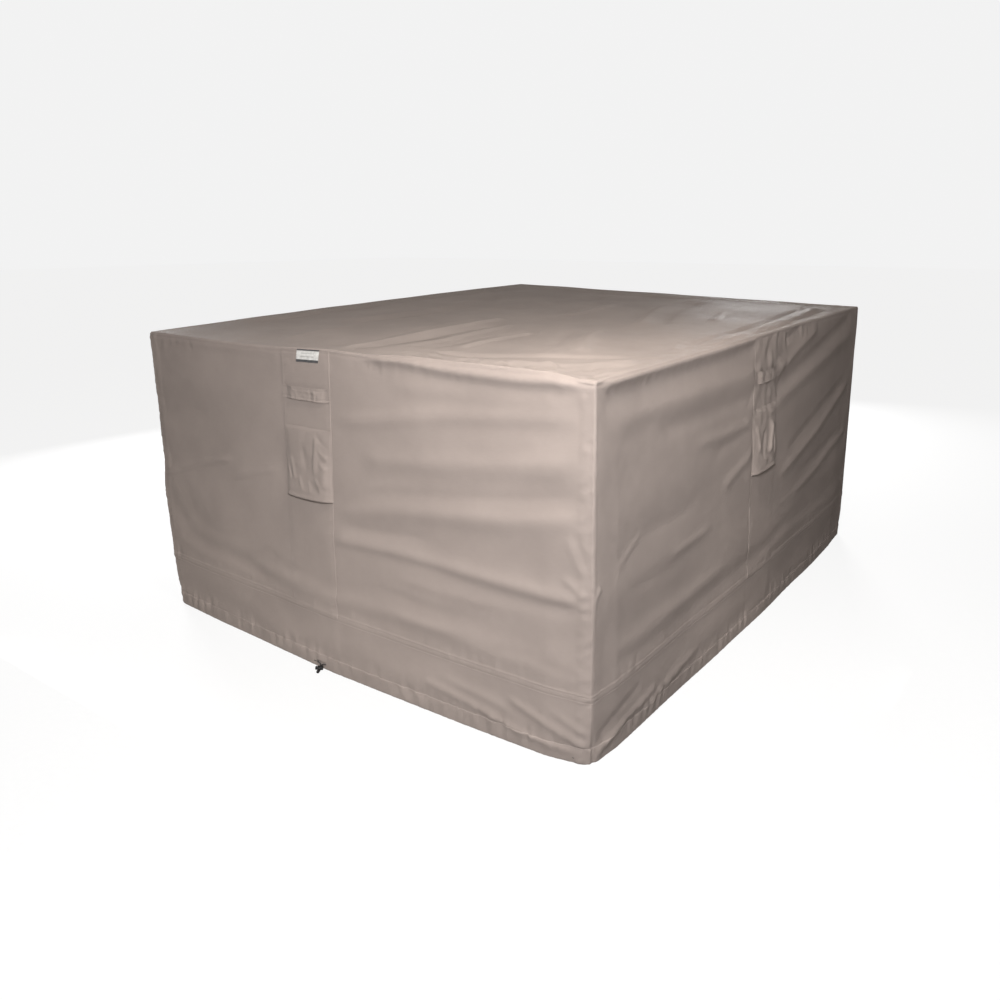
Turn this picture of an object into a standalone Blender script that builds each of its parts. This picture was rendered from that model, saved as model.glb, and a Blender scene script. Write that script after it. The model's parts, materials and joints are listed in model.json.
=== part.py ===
"""Fitted fabric cover for a rectangular spa: sewn panels, hem casing with a drawcord and cord lock,
four vents under fabric hoods and four grab straps.

Metres, +Z up. The origin is on the ground under the middle of the cover. The labelled face looks to -Y.
Each side of the cover is built in its own frame: x runs along the side to the right, seen from outside,
and the face looks to -y. An empty turns that frame about Z to the front, right, back or left.
The walls hang a little outward: they are straight along the top and bow out towards the ground, flat
across the reinforcing strip and curved from there to the corners. What is sewn on the strip sits in a
second frame, whose z runs up the leaning wall.
"""
import math

import bmesh
import bpy
from mathutils import Matrix, Vector

# Driving dimensions
WIDTH = 1.62              # along X, over the side panels
DEPTH = 1.91              # along Y, over the front and back panels
HEIGHT = 0.90             # top edge over the ground at the front corners
BACK_LEFT_RISE = 0.055    # how much higher the top stands at the back left corner
BACK_RIGHT_RISE = 0.02    # and at the back right corner
BOW = {"front": 0.042, "right": 0.020, "back": 0.030, "left": 0.020}   # at the ground, mid-side
FABRIC = 0.0015           # coated woven fabric with its seam allowance
GAP = 0.0003              # between pieces that touch

BAND_TOP = 0.165          # seam between the wall panels and the bottom band
HEM_HEIGHT = 0.042        # tunnel sewn along the ground for the drawcord
HEM_THICK = 0.0066

STRIP_WIDTH = 0.190       # reinforcing strip down the middle of each wall
STRIP_SHIFT = {"front": -0.09, "right": 0.0, "back": 0.09, "left": 0.0}
STRIP_MARGIN = 0.005      # flat wall beyond each edge of the strip
BOW_STEPS = 4             # straight stretches from the strip to a corner

HOOD_TOP = 0.690
HOOD_BOTTOM = 0.488
HOOD_WIDTH = 0.186
HOOD_TOP_DEPTH = 0.004
HOOD_BOTTOM_DEPTH = 0.018
HOOD_FABRIC = 0.001

WINDOW_WIDTH = 0.120      # vent window in the wall under the hood
WINDOW_BOTTOM = 0.530
WINDOW_TOP = 0.660
NET_MARGIN = 0.012        # net sewn round the window
NET_THICK = 0.001

STRAP_WIDTH = 0.036       # grab strap across the strip
STRAP_MIDDLE = 0.782
STRAP_SEWN_END = 0.024
STRAP_RAMP = 0.022
STRAP_STAND = 0.010       # how far the slack middle stands off the strip

LABEL_SIZE = (0.086, 0.038)
LABEL_CENTRE = (0.014, 0.878)        # along the strip from its middle, and up it
LABEL_THICK = 0.0008

CORD_DIAMETER = 0.0026
CORD_CORNER = 0.015       # bend of the drawcord at the corners of the hem
CORD_SLIT = (-0.073, 0.034, 0.014)   # middle along the front, width and height of the slit
CORD_HEIGHT = 0.013       # of the cord in the tunnel
TAIL_HEIGHT = 0.0066      # of the cord where it lies in the lock
TAIL_ANGLE = math.radians(-56.0)     # the two tails lie out from the hem along this bearing
TAIL_SPACING = CORD_DIAMETER + GAP

LOCK_OUT = (0.0071, 0.0105)          # middle of the lock, from the slit's middle: along and out
LOCK_RADIUS = 0.0062
LOCK_BACK = -0.0085       # closed end of the barrel, along its own axis
LOCK_FRONT = 0.0062       # open end of the barrel
LOCK_BORE = 0.0043
LOCK_WALL = 0.0012
LOCK_SLOT = (0.0064, 0.0036)         # cord passage, along the barrel and up
PLUNGER_RADIUS = 0.0040
PLUNGER_BACK = -0.0045
PLUNGER_CAP_RADIUS = 0.0056
PLUNGER_CAP = (0.0090, 0.0118)
PLUNGER_TRAVEL = 0.0025
SPRING_RADIUS = 0.0030
SPRING_WIRE = 0.0005
SPRING_TURNS = 3

END_DISTANCE = 0.0110     # from the lock's middle to the mouth of the cord end
END_LENGTH = 0.0120
END_RADIUS = 0.0048
END_BORE = 0.0032
END_INSERT = 0.0060       # length of cord inside the cord end
END_HEIGHT = 0.0051

FRONT_FOOT = -DEPTH / 2 - BOW["front"]   # front of the cover on the ground, where the strip is
SEWN_PLANE = -2 * GAP - FABRIC       # back of what is sewn on a strip, in the strip's frame

SIDES = {"front": 0.0, "right": 90.0, "back": 180.0, "left": 270.0}

# Materials: base colour, roughness, metallic
FABRIC_LOOK = ((0.36, 0.30, 0.27), 0.75, 0.0)
NET_LOOK = ((0.05, 0.05, 0.05), 0.8, 0.0)
CORD_LOOK = ((0.02, 0.02, 0.02), 0.8, 0.0)
PLASTIC_LOOK = ((0.015, 0.015, 0.016), 0.4, 0.0)
STEEL_LOOK = ((0.60, 0.60, 0.60), 0.3, 1.0)
LABEL_LOOK = ((0.85, 0.84, 0.82), 0.6, 0.0)


def new_collection(name):
    group = bpy.data.collections.new(name)
    bpy.context.scene.collection.children.link(group)
    return group


def make_material(name, look):
    colour, roughness, metallic = look
    material = bpy.data.materials.new(name)
    material.use_nodes = True
    shader = material.node_tree.nodes["Principled BSDF"]
    shader.inputs["Base Color"].default_value = (*colour, 1.0)
    shader.inputs["Roughness"].default_value = roughness
    shader.inputs["Metallic"].default_value = metallic
    return material


def add_object(name, data, look, parent=None, location=(0, 0, 0), rotation=(0, 0, 0)):
    thing = bpy.data.objects.new(name, data)
    thing.location = location
    thing.rotation_euler = rotation
    thing.parent = parent
    data.materials.append(make_material(name, look))
    cover.objects.link(thing)
    return thing


def add_empty(name, parent=None, location=(0, 0, 0), rotation=(0, 0, 0)):
    empty = bpy.data.objects.new(name, None)
    empty.location = location
    empty.rotation_euler = rotation
    empty.parent = parent
    cover.objects.link(empty)
    return empty


def add_cutter(name, data, parent=None, location=(0, 0, 0), rotation=(0, 0, 0)):
    cutter = bpy.data.objects.new(name, data)
    cutter.location = location
    cutter.rotation_euler = rotation
    cutter.parent = parent
    cutter.hide_render = True
    cutter.display_type = "WIRE"
    cutters.objects.link(cutter)
    return cutter


def box_mesh(name, low, high):
    """A box between two corners."""
    low, high = Vector(low), Vector(high)
    mesh = bmesh.new()
    bmesh.ops.create_cube(mesh, size=1.0)
    bmesh.ops.scale(mesh, vec=high - low, verts=mesh.verts)
    bmesh.ops.translate(mesh, vec=(low + high) / 2, verts=mesh.verts)
    data = bpy.data.meshes.new(name)
    mesh.to_mesh(data)
    mesh.free()
    return data


def cylinder_mesh(name, radius, start, end, segments=24):
    """A cylinder along Z."""
    mesh = bmesh.new()
    bmesh.ops.create_cone(mesh, cap_ends=True, segments=segments,
                          radius1=radius, radius2=radius, depth=end - start)
    bmesh.ops.translate(mesh, vec=(0, 0, (start + end) / 2), verts=mesh.verts)
    data = bpy.data.meshes.new(name)
    mesh.to_mesh(data)
    mesh.free()
    return data


def turned(thing_data, profile):
    """A profile of (radius, height) points, outer side from the top down, for a Screw modifier."""
    mesh = bmesh.new()
    verts = [mesh.verts.new((radius, 0, height)) for radius, height in profile]
    for first, second in zip(verts, verts[1:]):
        mesh.edges.new((first, second))
    mesh.to_mesh(thing_data)
    mesh.free()


def screw(thing, segments=24):
    modifier = thing.modifiers.new("turn", "SCREW")
    modifier.steps = segments
    modifier.render_steps = segments
    modifier.use_merge_vertices = True
    modifier.merge_threshold = 1e-5


def solidify(thing, thickness, offset):
    modifier = thing.modifiers.new("thickness", "SOLIDIFY")
    modifier.thickness = thickness
    modifier.offset = offset
    modifier.use_even_offset = True


def cut(thing, cutter):
    modifier = thing.modifiers.new(cutter.name, "BOOLEAN")
    modifier.operation = "DIFFERENCE"
    modifier.solver = "EXACT"
    modifier.object = cutter


def top_height(x, y):
    """Height of the cover's top over the ground, at a point in plan."""
    to_left = (WIDTH / 2 - x) / WIDTH
    to_back = (y + DEPTH / 2) / DEPTH
    return HEIGHT + to_back * (BACK_LEFT_RISE * to_left + BACK_RIGHT_RISE * (1 - to_left))


def side_top(side):
    """Height at which a side's wall has leaned in to the corners' plane."""
    rise = {"front": 0.0, "right": BACK_RIGHT_RISE, "back": BACK_LEFT_RISE, "left": BACK_LEFT_RISE}
    return HEIGHT + rise[side]


def lean(side):
    """Angle between the strip and the vertical."""
    return math.atan(BOW[side] / side_top(side))


def corner_distance(side):
    """From the middle of a side to its corners."""
    return WIDTH / 2 if side in ("front", "back") else DEPTH / 2


def bow_stations(side):
    """Places along a side where its wall changes direction, corner to corner."""
    shift, corner = STRIP_SHIFT[side], corner_distance(side)
    flat = STRIP_WIDTH / 2 + STRIP_MARGIN
    left = [-corner + (shift - flat + corner) * step / BOW_STEPS for step in range(BOW_STEPS + 1)]
    right = [corner + (shift + flat - corner) * step / BOW_STEPS for step in range(BOW_STEPS + 1)]
    return left + right[::-1]


def bow_at_ground(side, along):
    """How far the foot of the wall stands out from the line between its corners."""
    stations = bow_stations(side)
    shares = [1 - ((BOW_STEPS - step) / BOW_STEPS) ** 2 for step in range(BOW_STEPS + 1)]
    shares += shares[::-1]
    for start, end, low, high in zip(stations, stations[1:], shares, shares[1:]):
        if along <= end:
            return BOW[side] * (low + (high - low) * max(0.0, along - start) / (end - start))
    return 0.0


def bow(side, along, height):
    return bow_at_ground(side, along) * (1 - height / side_top(side))


def face_distance(side):
    return DEPTH / 2 if side in ("front", "back") else WIDTH / 2


def half_length(side):
    """Half of the side's own length. The left and right walls fit between the front and the back."""
    if side in ("front", "back"):
        return WIDTH / 2
    return DEPTH / 2 - FABRIC - GAP


def wall_height(side, along):
    """Underside of the top panel over a place along a side."""
    plan = Matrix.Rotation(math.radians(SIDES[side]), 2) @ Vector((along, -face_distance(side)))
    return top_height(plan.x, plan.y) - FABRIC - GAP


def bowed_plate(name, side, half, thickness, levels, height_of_bow=None, window=False):
    """A plate along a whole side, bowed out, with its outer face through the given levels.

    A level of None is the underside of the top panel. A given height_of_bow keeps the plate upright,
    with the bow that the wall has at that height."""
    face, shift = -face_distance(side), STRIP_SHIFT[side]
    places = {-half, half, *(place for place in bow_stations(side) if abs(place) < half - 0.001)}
    if window:
        places |= {shift - WINDOW_WIDTH / 2, shift + WINDOW_WIDTH / 2}
    places = sorted(places)
    mesh = bmesh.new()
    bmesh.ops.create_grid(mesh, x_segments=len(places) - 1, y_segments=len(levels) - 1, size=0.5)
    for vert in mesh.verts:
        along = places[round((vert.co.x + 0.5) * (len(places) - 1))]
        height = levels[round((vert.co.y + 0.5) * (len(levels) - 1))]
        if height is None:
            height = wall_height(side, along)
        out = bow(side, along, height if height_of_bow is None else height_of_bow)
        vert.co = (along, face - out, height)
    if window:
        hole = [piece for piece in mesh.faces
                if abs(piece.calc_center_median().x - shift) < WINDOW_WIDTH / 2
                and levels[1] < piece.calc_center_median().z < levels[2]]
        bmesh.ops.delete(mesh, geom=hole, context="FACES")
    grown = bmesh.ops.extrude_face_region(mesh, geom=mesh.faces[:])
    inner = [thing for thing in grown["geom"] if isinstance(thing, bmesh.types.BMVert)]
    bmesh.ops.translate(mesh, vec=(0, thickness, 0), verts=inner)
    bmesh.ops.recalc_face_normals(mesh, faces=mesh.faces[:])
    data = bpy.data.meshes.new(name)
    mesh.to_mesh(data)
    mesh.free()
    return data


def build_top():
    mesh = bmesh.new()
    bmesh.ops.create_grid(mesh, x_segments=8, y_segments=8, size=0.5)
    for vert in mesh.verts:
        x, y = vert.co.x * WIDTH, vert.co.y * DEPTH
        vert.co = (x, y, top_height(x, y))
    data = bpy.data.meshes.new("top_panel")
    mesh.to_mesh(data)
    mesh.free()
    solidify(add_object("top_panel", data, FABRIC_LOOK), FABRIC, -1.0)


def build_wall(side, frame, strip_frame):
    """Wall panel, bottom band and reinforcing strip, with the vent window and its net."""
    window = add_cutter(f"{side}_window_cut", box_mesh(
        f"{side}_window_cut", (-WINDOW_WIDTH / 2, -0.01, WINDOW_BOTTOM),
        (WINDOW_WIDTH / 2, 0.01, WINDOW_TOP)), strip_frame)

    half = half_length(side)
    upright = math.cos(lean(side))
    panel = bowed_plate(f"{side}_panel", side, half, FABRIC, window=True, levels=(
        BAND_TOP + GAP, WINDOW_BOTTOM * upright, WINDOW_TOP * upright, None))
    add_object(f"{side}_panel", panel, FABRIC_LOOK, frame)
    band = bowed_plate(f"{side}_band", side, half, FABRIC, (HEM_HEIGHT + GAP, BAND_TOP))
    add_object(f"{side}_band", band, FABRIC_LOOK, frame)

    edges = (STRIP_SHIFT[side] - STRIP_WIDTH / 2, STRIP_SHIFT[side] + STRIP_WIDTH / 2)
    strip_top = min(wall_height(side, edge) for edge in edges) / math.cos(lean(side)) - 2 * GAP
    strip = add_object(f"{side}_strip", box_mesh(
        f"{side}_strip", (-STRIP_WIDTH / 2, -GAP - FABRIC, BAND_TOP),
        (STRIP_WIDTH / 2, -GAP, strip_top)), FABRIC_LOOK, strip_frame)
    cut(strip, window)

    inner = FABRIC + GAP
    add_object(f"{side}_vent_net", box_mesh(
        f"{side}_vent_net",
        (-WINDOW_WIDTH / 2 - NET_MARGIN, inner, WINDOW_BOTTOM - NET_MARGIN),
        (WINDOW_WIDTH / 2 + NET_MARGIN, inner + NET_THICK, WINDOW_TOP + NET_MARGIN)),
        NET_LOOK, strip_frame)


def build_hood(side, strip_frame):
    """Fabric hood over the vent, sewn along its top and sides and open at the bottom.

    Its origin is on its top seam, about which it lifts."""
    drop = HOOD_TOP - HOOD_BOTTOM
    mesh = bmesh.new()
    bmesh.ops.create_cube(mesh, size=1.0)
    for vert in mesh.verts:
        at_bottom, outside = vert.co.z < 0, vert.co.y < 0
        depth = HOOD_BOTTOM_DEPTH if at_bottom else HOOD_TOP_DEPTH
        vert.co = (vert.co.x * HOOD_WIDTH, -depth if outside else 0.0, -drop if at_bottom else 0.0)
    open_faces = [f for f in mesh.faces if f.normal.y > 0.5 or f.normal.z < -0.5]
    bmesh.ops.delete(mesh, geom=open_faces, context="FACES")
    data = bpy.data.meshes.new(f"{side}_vent_hood")
    mesh.to_mesh(data)
    mesh.free()
    hood = add_object(f"{side}_vent_hood", data, FABRIC_LOOK, strip_frame,
                      location=(0, SEWN_PLANE, HOOD_TOP))
    solidify(hood, HOOD_FABRIC, -1.0)


def build_strap(side, strip_frame):
    """Grab strap, sewn down at both ends and slack between them."""
    end = HOOD_WIDTH / 2
    raised = end - STRAP_SEWN_END - STRAP_RAMP
    line = [(-end, 0.0), (STRAP_SEWN_END - end, 0.0), (-raised, -STRAP_STAND),
            (raised, -STRAP_STAND), (end - STRAP_SEWN_END, 0.0), (end, 0.0)]
    mesh = bmesh.new()
    low = [mesh.verts.new((x, y, -STRAP_WIDTH / 2)) for x, y in line]
    high = [mesh.verts.new((x, y, STRAP_WIDTH / 2)) for x, y in line]
    for index in range(len(line) - 1):
        mesh.faces.new((low[index], low[index + 1], high[index + 1], high[index]))
    data = bpy.data.meshes.new(f"{side}_grab_strap")
    mesh.to_mesh(data)
    mesh.free()
    strap = add_object(f"{side}_grab_strap", data, FABRIC_LOOK, strip_frame,
                       location=(0, SEWN_PLANE, STRAP_MIDDLE))
    solidify(strap, FABRIC, 1.0)


def rounded_ring(name, inset, width, corner, height):
    """A flat ring inside the cover's plan, with round corners, standing height tall about its middle."""
    curve = bpy.data.curves.new(name, "CURVE")
    curve.dimensions = "2D"
    curve.fill_mode = "BOTH"
    curve.extrude = height / 2
    for grow in (width / 2, -width / 2):
        points = ring_points(inset - grow, corner + grow, 6)
        spline = curve.splines.new("POLY")
        spline.points.add(len(points) - 1)
        for point, (x, y) in zip(spline.points, points):
            point.co = (x, y, 0, 1)
        spline.use_cyclic_u = True
    source = bpy.data.objects.new(name, curve)
    cutters.objects.link(source)
    data = bpy.data.meshes.new_from_object(source.evaluated_get(bpy.context.evaluated_depsgraph_get()))
    bpy.data.objects.remove(source)
    mesh = bmesh.new()
    mesh.from_mesh(data)
    bmesh.ops.remove_doubles(mesh, verts=mesh.verts, dist=1e-6)
    mesh.to_mesh(data)
    mesh.free()
    return data


def corner_arc(signs, inset, radius, steps):
    """Points round one corner of the plan, turning to the left as seen from above."""
    sx, sy = signs
    centre = Vector((sx * (WIDTH / 2 - inset - radius), sy * (DEPTH / 2 - inset - radius)))
    start = {(1, -1): -90, (1, 1): 0, (-1, 1): 90, (-1, -1): 180}[signs]
    for step in range(steps + 1):
        angle = math.radians(start + 90 * step / steps)
        yield centre + radius * Vector((math.cos(angle), math.sin(angle)))


def bowed_plan(point):
    """Moves a point of the plan outward by the bow of the two sides it is nearest to."""
    front_or_back = "front" if point.y < 0 else "back"
    side_x = "right" if point.x > 0 else "left"
    along_x = point.x if point.y < 0 else -point.x
    along_y = point.y if point.x > 0 else -point.y
    out_y = bow_at_ground(front_or_back, along_x)
    out_x = bow_at_ground(side_x, along_y)
    return point + Vector((out_x if point.x > 0 else -out_x, -out_y if point.y < 0 else out_y))


def ring_points(inset, radius, steps):
    """A closed line inside the foot of the cover, from the front left station to the right."""
    points = []
    for side, signs in (("front", (1, -1)), ("right", (1, 1)), ("back", (-1, 1)), ("left", (-1, -1))):
        turn = Matrix.Rotation(math.radians(SIDES[side]), 2)
        for place in bow_stations(side)[1:-1]:
            points.append(turn @ Vector((place, inset - face_distance(side))))
        points += corner_arc(signs, inset, radius, steps)
    return [bowed_plan(point) for point in points]


def build_hem_casing(side, frame, channel, slit):
    """Tunnel along the ground. The channel leaves its inner wall near each corner."""
    half = WIDTH / 2 if side in ("front", "back") else DEPTH / 2 - HEM_THICK - GAP
    casing = add_object(f"{side}_hem_casing", bowed_plate(
        f"{side}_hem_casing", side, half, HEM_THICK, (0.0, HEM_HEIGHT), height_of_bow=0.0),
        FABRIC_LOOK, frame)
    cut(casing, channel)
    if side == "front":
        cut(casing, slit)


def smooth_route(points, per_span):
    """Points along a Catmull-Rom curve through the given ones."""
    ends = [2 * points[0] - points[1], *points, 2 * points[-1] - points[-2]]
    route = []
    for a, b, c, d in zip(ends, ends[1:], ends[2:], ends[3:]):
        for step in range(per_span):
            t = step / per_span
            route.append(0.5 * (2 * b + (c - a) * t + (2 * a - 5 * b + 4 * c - d) * t ** 2
                                + (3 * b - a - 3 * c + d) * t ** 3))
    return [*route, points[-1]]


def lock_place():
    """Middle of the cord lock, in plan."""
    along, out = LOCK_OUT
    return Vector((CORD_SLIT[0] + along, FRONT_FOOT - out))


def tail_point(along, across, height):
    """A point by the lock: along the tails, across them, and over the ground."""
    way = Vector((math.cos(TAIL_ANGLE), math.sin(TAIL_ANGLE)))
    aside = Vector((-way.y, way.x))
    plan = lock_place() + way * along + aside * across
    return Vector((plan.x, plan.y, height))


def build_drawcord():
    """One cord: in through the slit, round the whole hem, and out again."""
    inset = HEM_THICK / 2
    lane = FRONT_FOOT + inset
    middle = CORD_SLIT[0]
    half = TAIL_SPACING / 2
    stop = END_DISTANCE + END_INSERT
    to_left = [
        Vector((middle - 0.045, lane, CORD_HEIGHT)),
        Vector((middle - 0.030, lane, CORD_HEIGHT)),
        Vector((middle - 0.0140, lane + 0.0002, CORD_HEIGHT)),
        Vector((middle - 0.0060, lane - 0.0018, CORD_HEIGHT - 0.0004)),
        Vector((middle - 0.0022, lane - 0.0042, CORD_HEIGHT - 0.0018)),
    ]
    to_right = [
        Vector((middle + 0.045, lane, CORD_HEIGHT)),
        Vector((middle + 0.030, lane, CORD_HEIGHT)),
        Vector((middle + 0.0165, lane + 0.0002, CORD_HEIGHT)),
        Vector((middle + 0.0085, lane - 0.0014, CORD_HEIGHT - 0.0004)),
        Vector((middle + 0.0056, lane - 0.0036, CORD_HEIGHT - 0.0014)),
    ]
    tails = []
    for start, across in ((to_left, -half), (to_right, half)):
        tails.append(smooth_route([
            *start,
            tail_point(-0.0098, across, TAIL_HEIGHT + 0.0024),
            tail_point(-0.0074, across, TAIL_HEIGHT + 0.0005),
            tail_point(-0.0060, across, TAIL_HEIGHT),
            tail_point(0.0095, across, TAIL_HEIGHT - 0.0002),
            tail_point(END_DISTANCE, across, END_HEIGHT + 0.0010),
            tail_point(stop, across, END_HEIGHT)], 2))
    ring = [Vector((x, y, CORD_HEIGHT)) for x, y in ring_points(inset, CORD_CORNER, 5)]
    left_tail, right_tail = tails
    route = [*reversed(right_tail), *ring[BOW_STEPS:], *ring[:BOW_STEPS], *left_tail]
    curve = bpy.data.curves.new("drawcord", "CURVE")
    curve.dimensions = "3D"
    curve.bevel_depth = CORD_DIAMETER / 2
    curve.bevel_resolution = 2
    curve.use_fill_caps = True
    spline = curve.splines.new("POLY")
    spline.points.add(len(route) - 1)
    for point, place in zip(spline.points, route):
        point.co = (*place, 1)
    add_object("drawcord", curve, CORD_LOOK)


def build_cord_lock():
    """Barrel, plunger and spring. Its own z axis is the barrel's, and x is the cord's way through."""
    seat = add_empty("cord_lock_seat", location=(*lock_place(), TAIL_HEIGHT),
                     rotation=(math.radians(90), 0, TAIL_ANGLE))
    bore = add_cutter("lock_bore_cut", cylinder_mesh(
        "lock_bore_cut", LOCK_BORE, LOCK_BACK + LOCK_WALL, LOCK_FRONT + 0.002), seat)
    slot_long, slot_high = LOCK_SLOT
    slot = add_cutter("lock_slot_cut", box_mesh(
        "lock_slot_cut", (-0.01, -slot_high / 2, -slot_long / 2), (0.01, slot_high / 2, slot_long / 2)), seat)
    body = add_object("cord_lock_body", cylinder_mesh(
        "cord_lock_body", LOCK_RADIUS, LOCK_BACK, LOCK_FRONT), PLASTIC_LOOK, seat)
    cut(body, bore)
    cut(body, slot)

    data = bpy.data.meshes.new("cord_lock_plunger")
    cap_start, cap_end = PLUNGER_CAP
    turned(data, [(0.0, cap_end), (PLUNGER_CAP_RADIUS - 0.001, cap_end),
                  (PLUNGER_CAP_RADIUS, cap_end - 0.001), (PLUNGER_CAP_RADIUS, cap_start),
                  (PLUNGER_RADIUS, cap_start), (PLUNGER_RADIUS, PLUNGER_BACK), (0.0, PLUNGER_BACK)])
    plunger = add_object("cord_lock_plunger", data, PLASTIC_LOOK, seat)
    screw(plunger)
    grip = -slot_long / 2 + 0.0001
    hole = add_cutter("plunger_slot_cut", box_mesh(
        "plunger_slot_cut", (-0.01, -slot_high / 2, grip),
        (0.01, slot_high / 2, -grip + PLUNGER_TRAVEL)), seat)
    cut(plunger, hole)

    low, high = LOCK_BACK + LOCK_WALL + GAP + SPRING_WIRE / 2, PLUNGER_BACK - GAP - SPRING_WIRE / 2
    steps = 12 * SPRING_TURNS
    curve = bpy.data.curves.new("cord_lock_spring", "CURVE")
    curve.dimensions = "3D"
    curve.bevel_depth = SPRING_WIRE / 2
    curve.bevel_resolution = 1
    curve.use_fill_caps = True
    spline = curve.splines.new("POLY")
    spline.points.add(steps)
    for step, point in enumerate(spline.points):
        angle = 2 * math.pi * step / 12
        point.co = (SPRING_RADIUS * math.cos(angle), SPRING_RADIUS * math.sin(angle),
                    low + (high - low) * step / steps, 1)
    add_object("cord_lock_spring", curve, STEEL_LOOK, seat)


def build_cord_end():
    """Tapered plastic end that holds both tails."""
    mouth = tail_point(END_DISTANCE, 0.0, END_HEIGHT)
    data = bpy.data.meshes.new("cord_end")
    turned(data, [(0.0, END_LENGTH), (0.0030, END_LENGTH), (0.0042, END_LENGTH - 0.002),
                  (END_RADIUS, 0.0), (END_BORE, 0.0), (END_BORE, END_INSERT + 0.001),
                  (0.0, END_INSERT + 0.001)])
    end = add_object("cord_end", data, PLASTIC_LOOK, location=mouth,
                     rotation=(0, math.radians(90), TAIL_ANGLE))
    screw(end)


def build_label(strip_frame):
    x, z = LABEL_CENTRE
    width, height = LABEL_SIZE
    add_object("sewn_label", box_mesh(
        "sewn_label", (x - width / 2, SEWN_PLANE - LABEL_THICK, z - height / 2),
        (x + width / 2, SEWN_PLANE, z + height / 2)), LABEL_LOOK, strip_frame)


def build_cover():
    build_top()
    inset = HEM_THICK / 2
    channel = add_cutter("hem_channel_cut", rounded_ring(
        "hem_channel_cut", inset, HEM_THICK - 2 * FABRIC, CORD_CORNER, HEM_HEIGHT - 2 * FABRIC),
        location=(0, 0, HEM_HEIGHT / 2))
    middle, slit_width, slit_height = CORD_SLIT
    slit = add_cutter("cord_slit_cut", box_mesh(
        "cord_slit_cut", (middle - slit_width / 2, FRONT_FOOT - 0.01, CORD_HEIGHT - slit_height / 2),
        (middle + slit_width / 2, FRONT_FOOT + inset, CORD_HEIGHT + slit_height / 2)))
    for side, angle in SIDES.items():
        frame = add_empty(f"{side}_side", rotation=(0, 0, math.radians(angle)))
        strip_frame = add_empty(
            f"{side}_strip_foot", frame, rotation=(-lean(side), 0, 0),
            location=(STRIP_SHIFT[side], -face_distance(side) - BOW[side], 0))
        build_wall(side, frame, strip_frame)
        build_hem_casing(side, frame, channel, slit)
        build_hood(side, strip_frame)
        build_strap(side, strip_frame)
        if side == "front":
            build_label(strip_frame)
    build_drawcord()
    build_cord_lock()
    build_cord_end()


for leftover in list(bpy.data.objects):
    bpy.data.objects.remove(leftover, do_unlink=True)
cover = new_collection("spa_cover")
cutters = new_collection("cutters")
build_cover()
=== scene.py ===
"""Looks of the fitted spa cover.

One continuous shell of cloth is laid over the cover's box and settled with Blender's cloth. Folds and seams
are then added on finer grids, and the grids are cut along the seams into the top, wall panels, bands and hem
casings. What is sewn on the walls is laid on the finished shell. Metres, in the CAD's frame.
"""
import json
import math

import bpy
import numpy as np
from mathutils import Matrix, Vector


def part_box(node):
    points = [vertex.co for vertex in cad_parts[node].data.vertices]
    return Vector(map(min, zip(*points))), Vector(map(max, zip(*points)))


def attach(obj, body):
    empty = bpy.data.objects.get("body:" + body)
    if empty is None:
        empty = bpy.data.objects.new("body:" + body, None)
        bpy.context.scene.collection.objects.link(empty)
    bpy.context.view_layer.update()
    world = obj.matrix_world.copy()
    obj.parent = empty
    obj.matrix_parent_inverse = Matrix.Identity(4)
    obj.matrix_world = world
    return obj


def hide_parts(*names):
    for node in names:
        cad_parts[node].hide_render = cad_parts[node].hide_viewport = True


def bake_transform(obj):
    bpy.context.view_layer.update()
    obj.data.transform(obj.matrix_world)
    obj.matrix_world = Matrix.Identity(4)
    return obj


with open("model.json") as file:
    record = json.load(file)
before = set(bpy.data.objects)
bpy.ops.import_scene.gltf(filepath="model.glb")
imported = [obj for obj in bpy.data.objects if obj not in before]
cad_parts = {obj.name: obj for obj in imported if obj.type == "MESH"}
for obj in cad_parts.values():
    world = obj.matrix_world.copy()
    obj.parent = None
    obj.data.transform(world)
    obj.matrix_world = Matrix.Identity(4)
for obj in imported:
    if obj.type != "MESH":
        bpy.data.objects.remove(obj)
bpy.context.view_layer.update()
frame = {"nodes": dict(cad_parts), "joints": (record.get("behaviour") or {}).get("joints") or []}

# ---------------------------------------------------------------- sizes, from the CAD model
TOP_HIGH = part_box("top_panel")[1]
HALF_X, HALF_Y = TOP_HIGH[0], TOP_HIGH[1]
HEIGHT = 0.90
RISE_LEFT = TOP_HIGH[2] - HEIGHT          # back left corner over the front corners
RISE_RIGHT = 0.020                        # back right corner over them
HEM_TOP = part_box("front_hem_casing")[1][2]
HEM_THICK = 0.0066
STRIP_HALF = 0.095
STRIP_AT = {"front": -0.09, "right": 0.0, "back": 0.09, "left": 0.0}
WINDOW_HALF = 0.060
WINDOW_LOW, WINDOW_HIGH = 0.530, 0.660
HOOD_LOW, HOOD_HIGH, HOOD_HALF = 0.496, 0.692, 0.093
STRAP_AT, STRAP_WIDTH = 0.782, 0.036
SIDES = {"front": 0, "right": 90, "back": 180, "left": 270}
HALF_LENGTH = {"front": HALF_X, "right": HALF_Y, "back": HALF_X, "left": HALF_Y}
STRETCH_FROM = 0.70                       # rows of cloth over this height follow the top's slope
SEAM_LOW, SEAM_HIGH = 0.159, 0.177        # the two stitched lines of the band's flat seam
BAND_FROM, BAND_TO = 0.038, 0.168         # the band's hidden edges, in the hem and behind the panel
NET_MARGIN = 0.012                        # net sewn round the window
STITCHED = 0.0085                         # seam stitches, from the cover's edges
TINY = 1e-6


# ---------------------------------------------------------------- camera
camera = bpy.data.objects.new("camera", bpy.data.cameras.new("camera"))
bpy.context.scene.collection.objects.link(camera)
bpy.context.scene.camera = camera
camera.location = (1.716, -2.419, 1.194)
camera.rotation_euler = (math.radians(90 - 14.72), 0, math.radians(33.96))
camera.data.lens = 30.56
camera.data.sensor_width = 36
camera.data.shift_x = -0.064
camera.data.shift_y = -0.044


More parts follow.
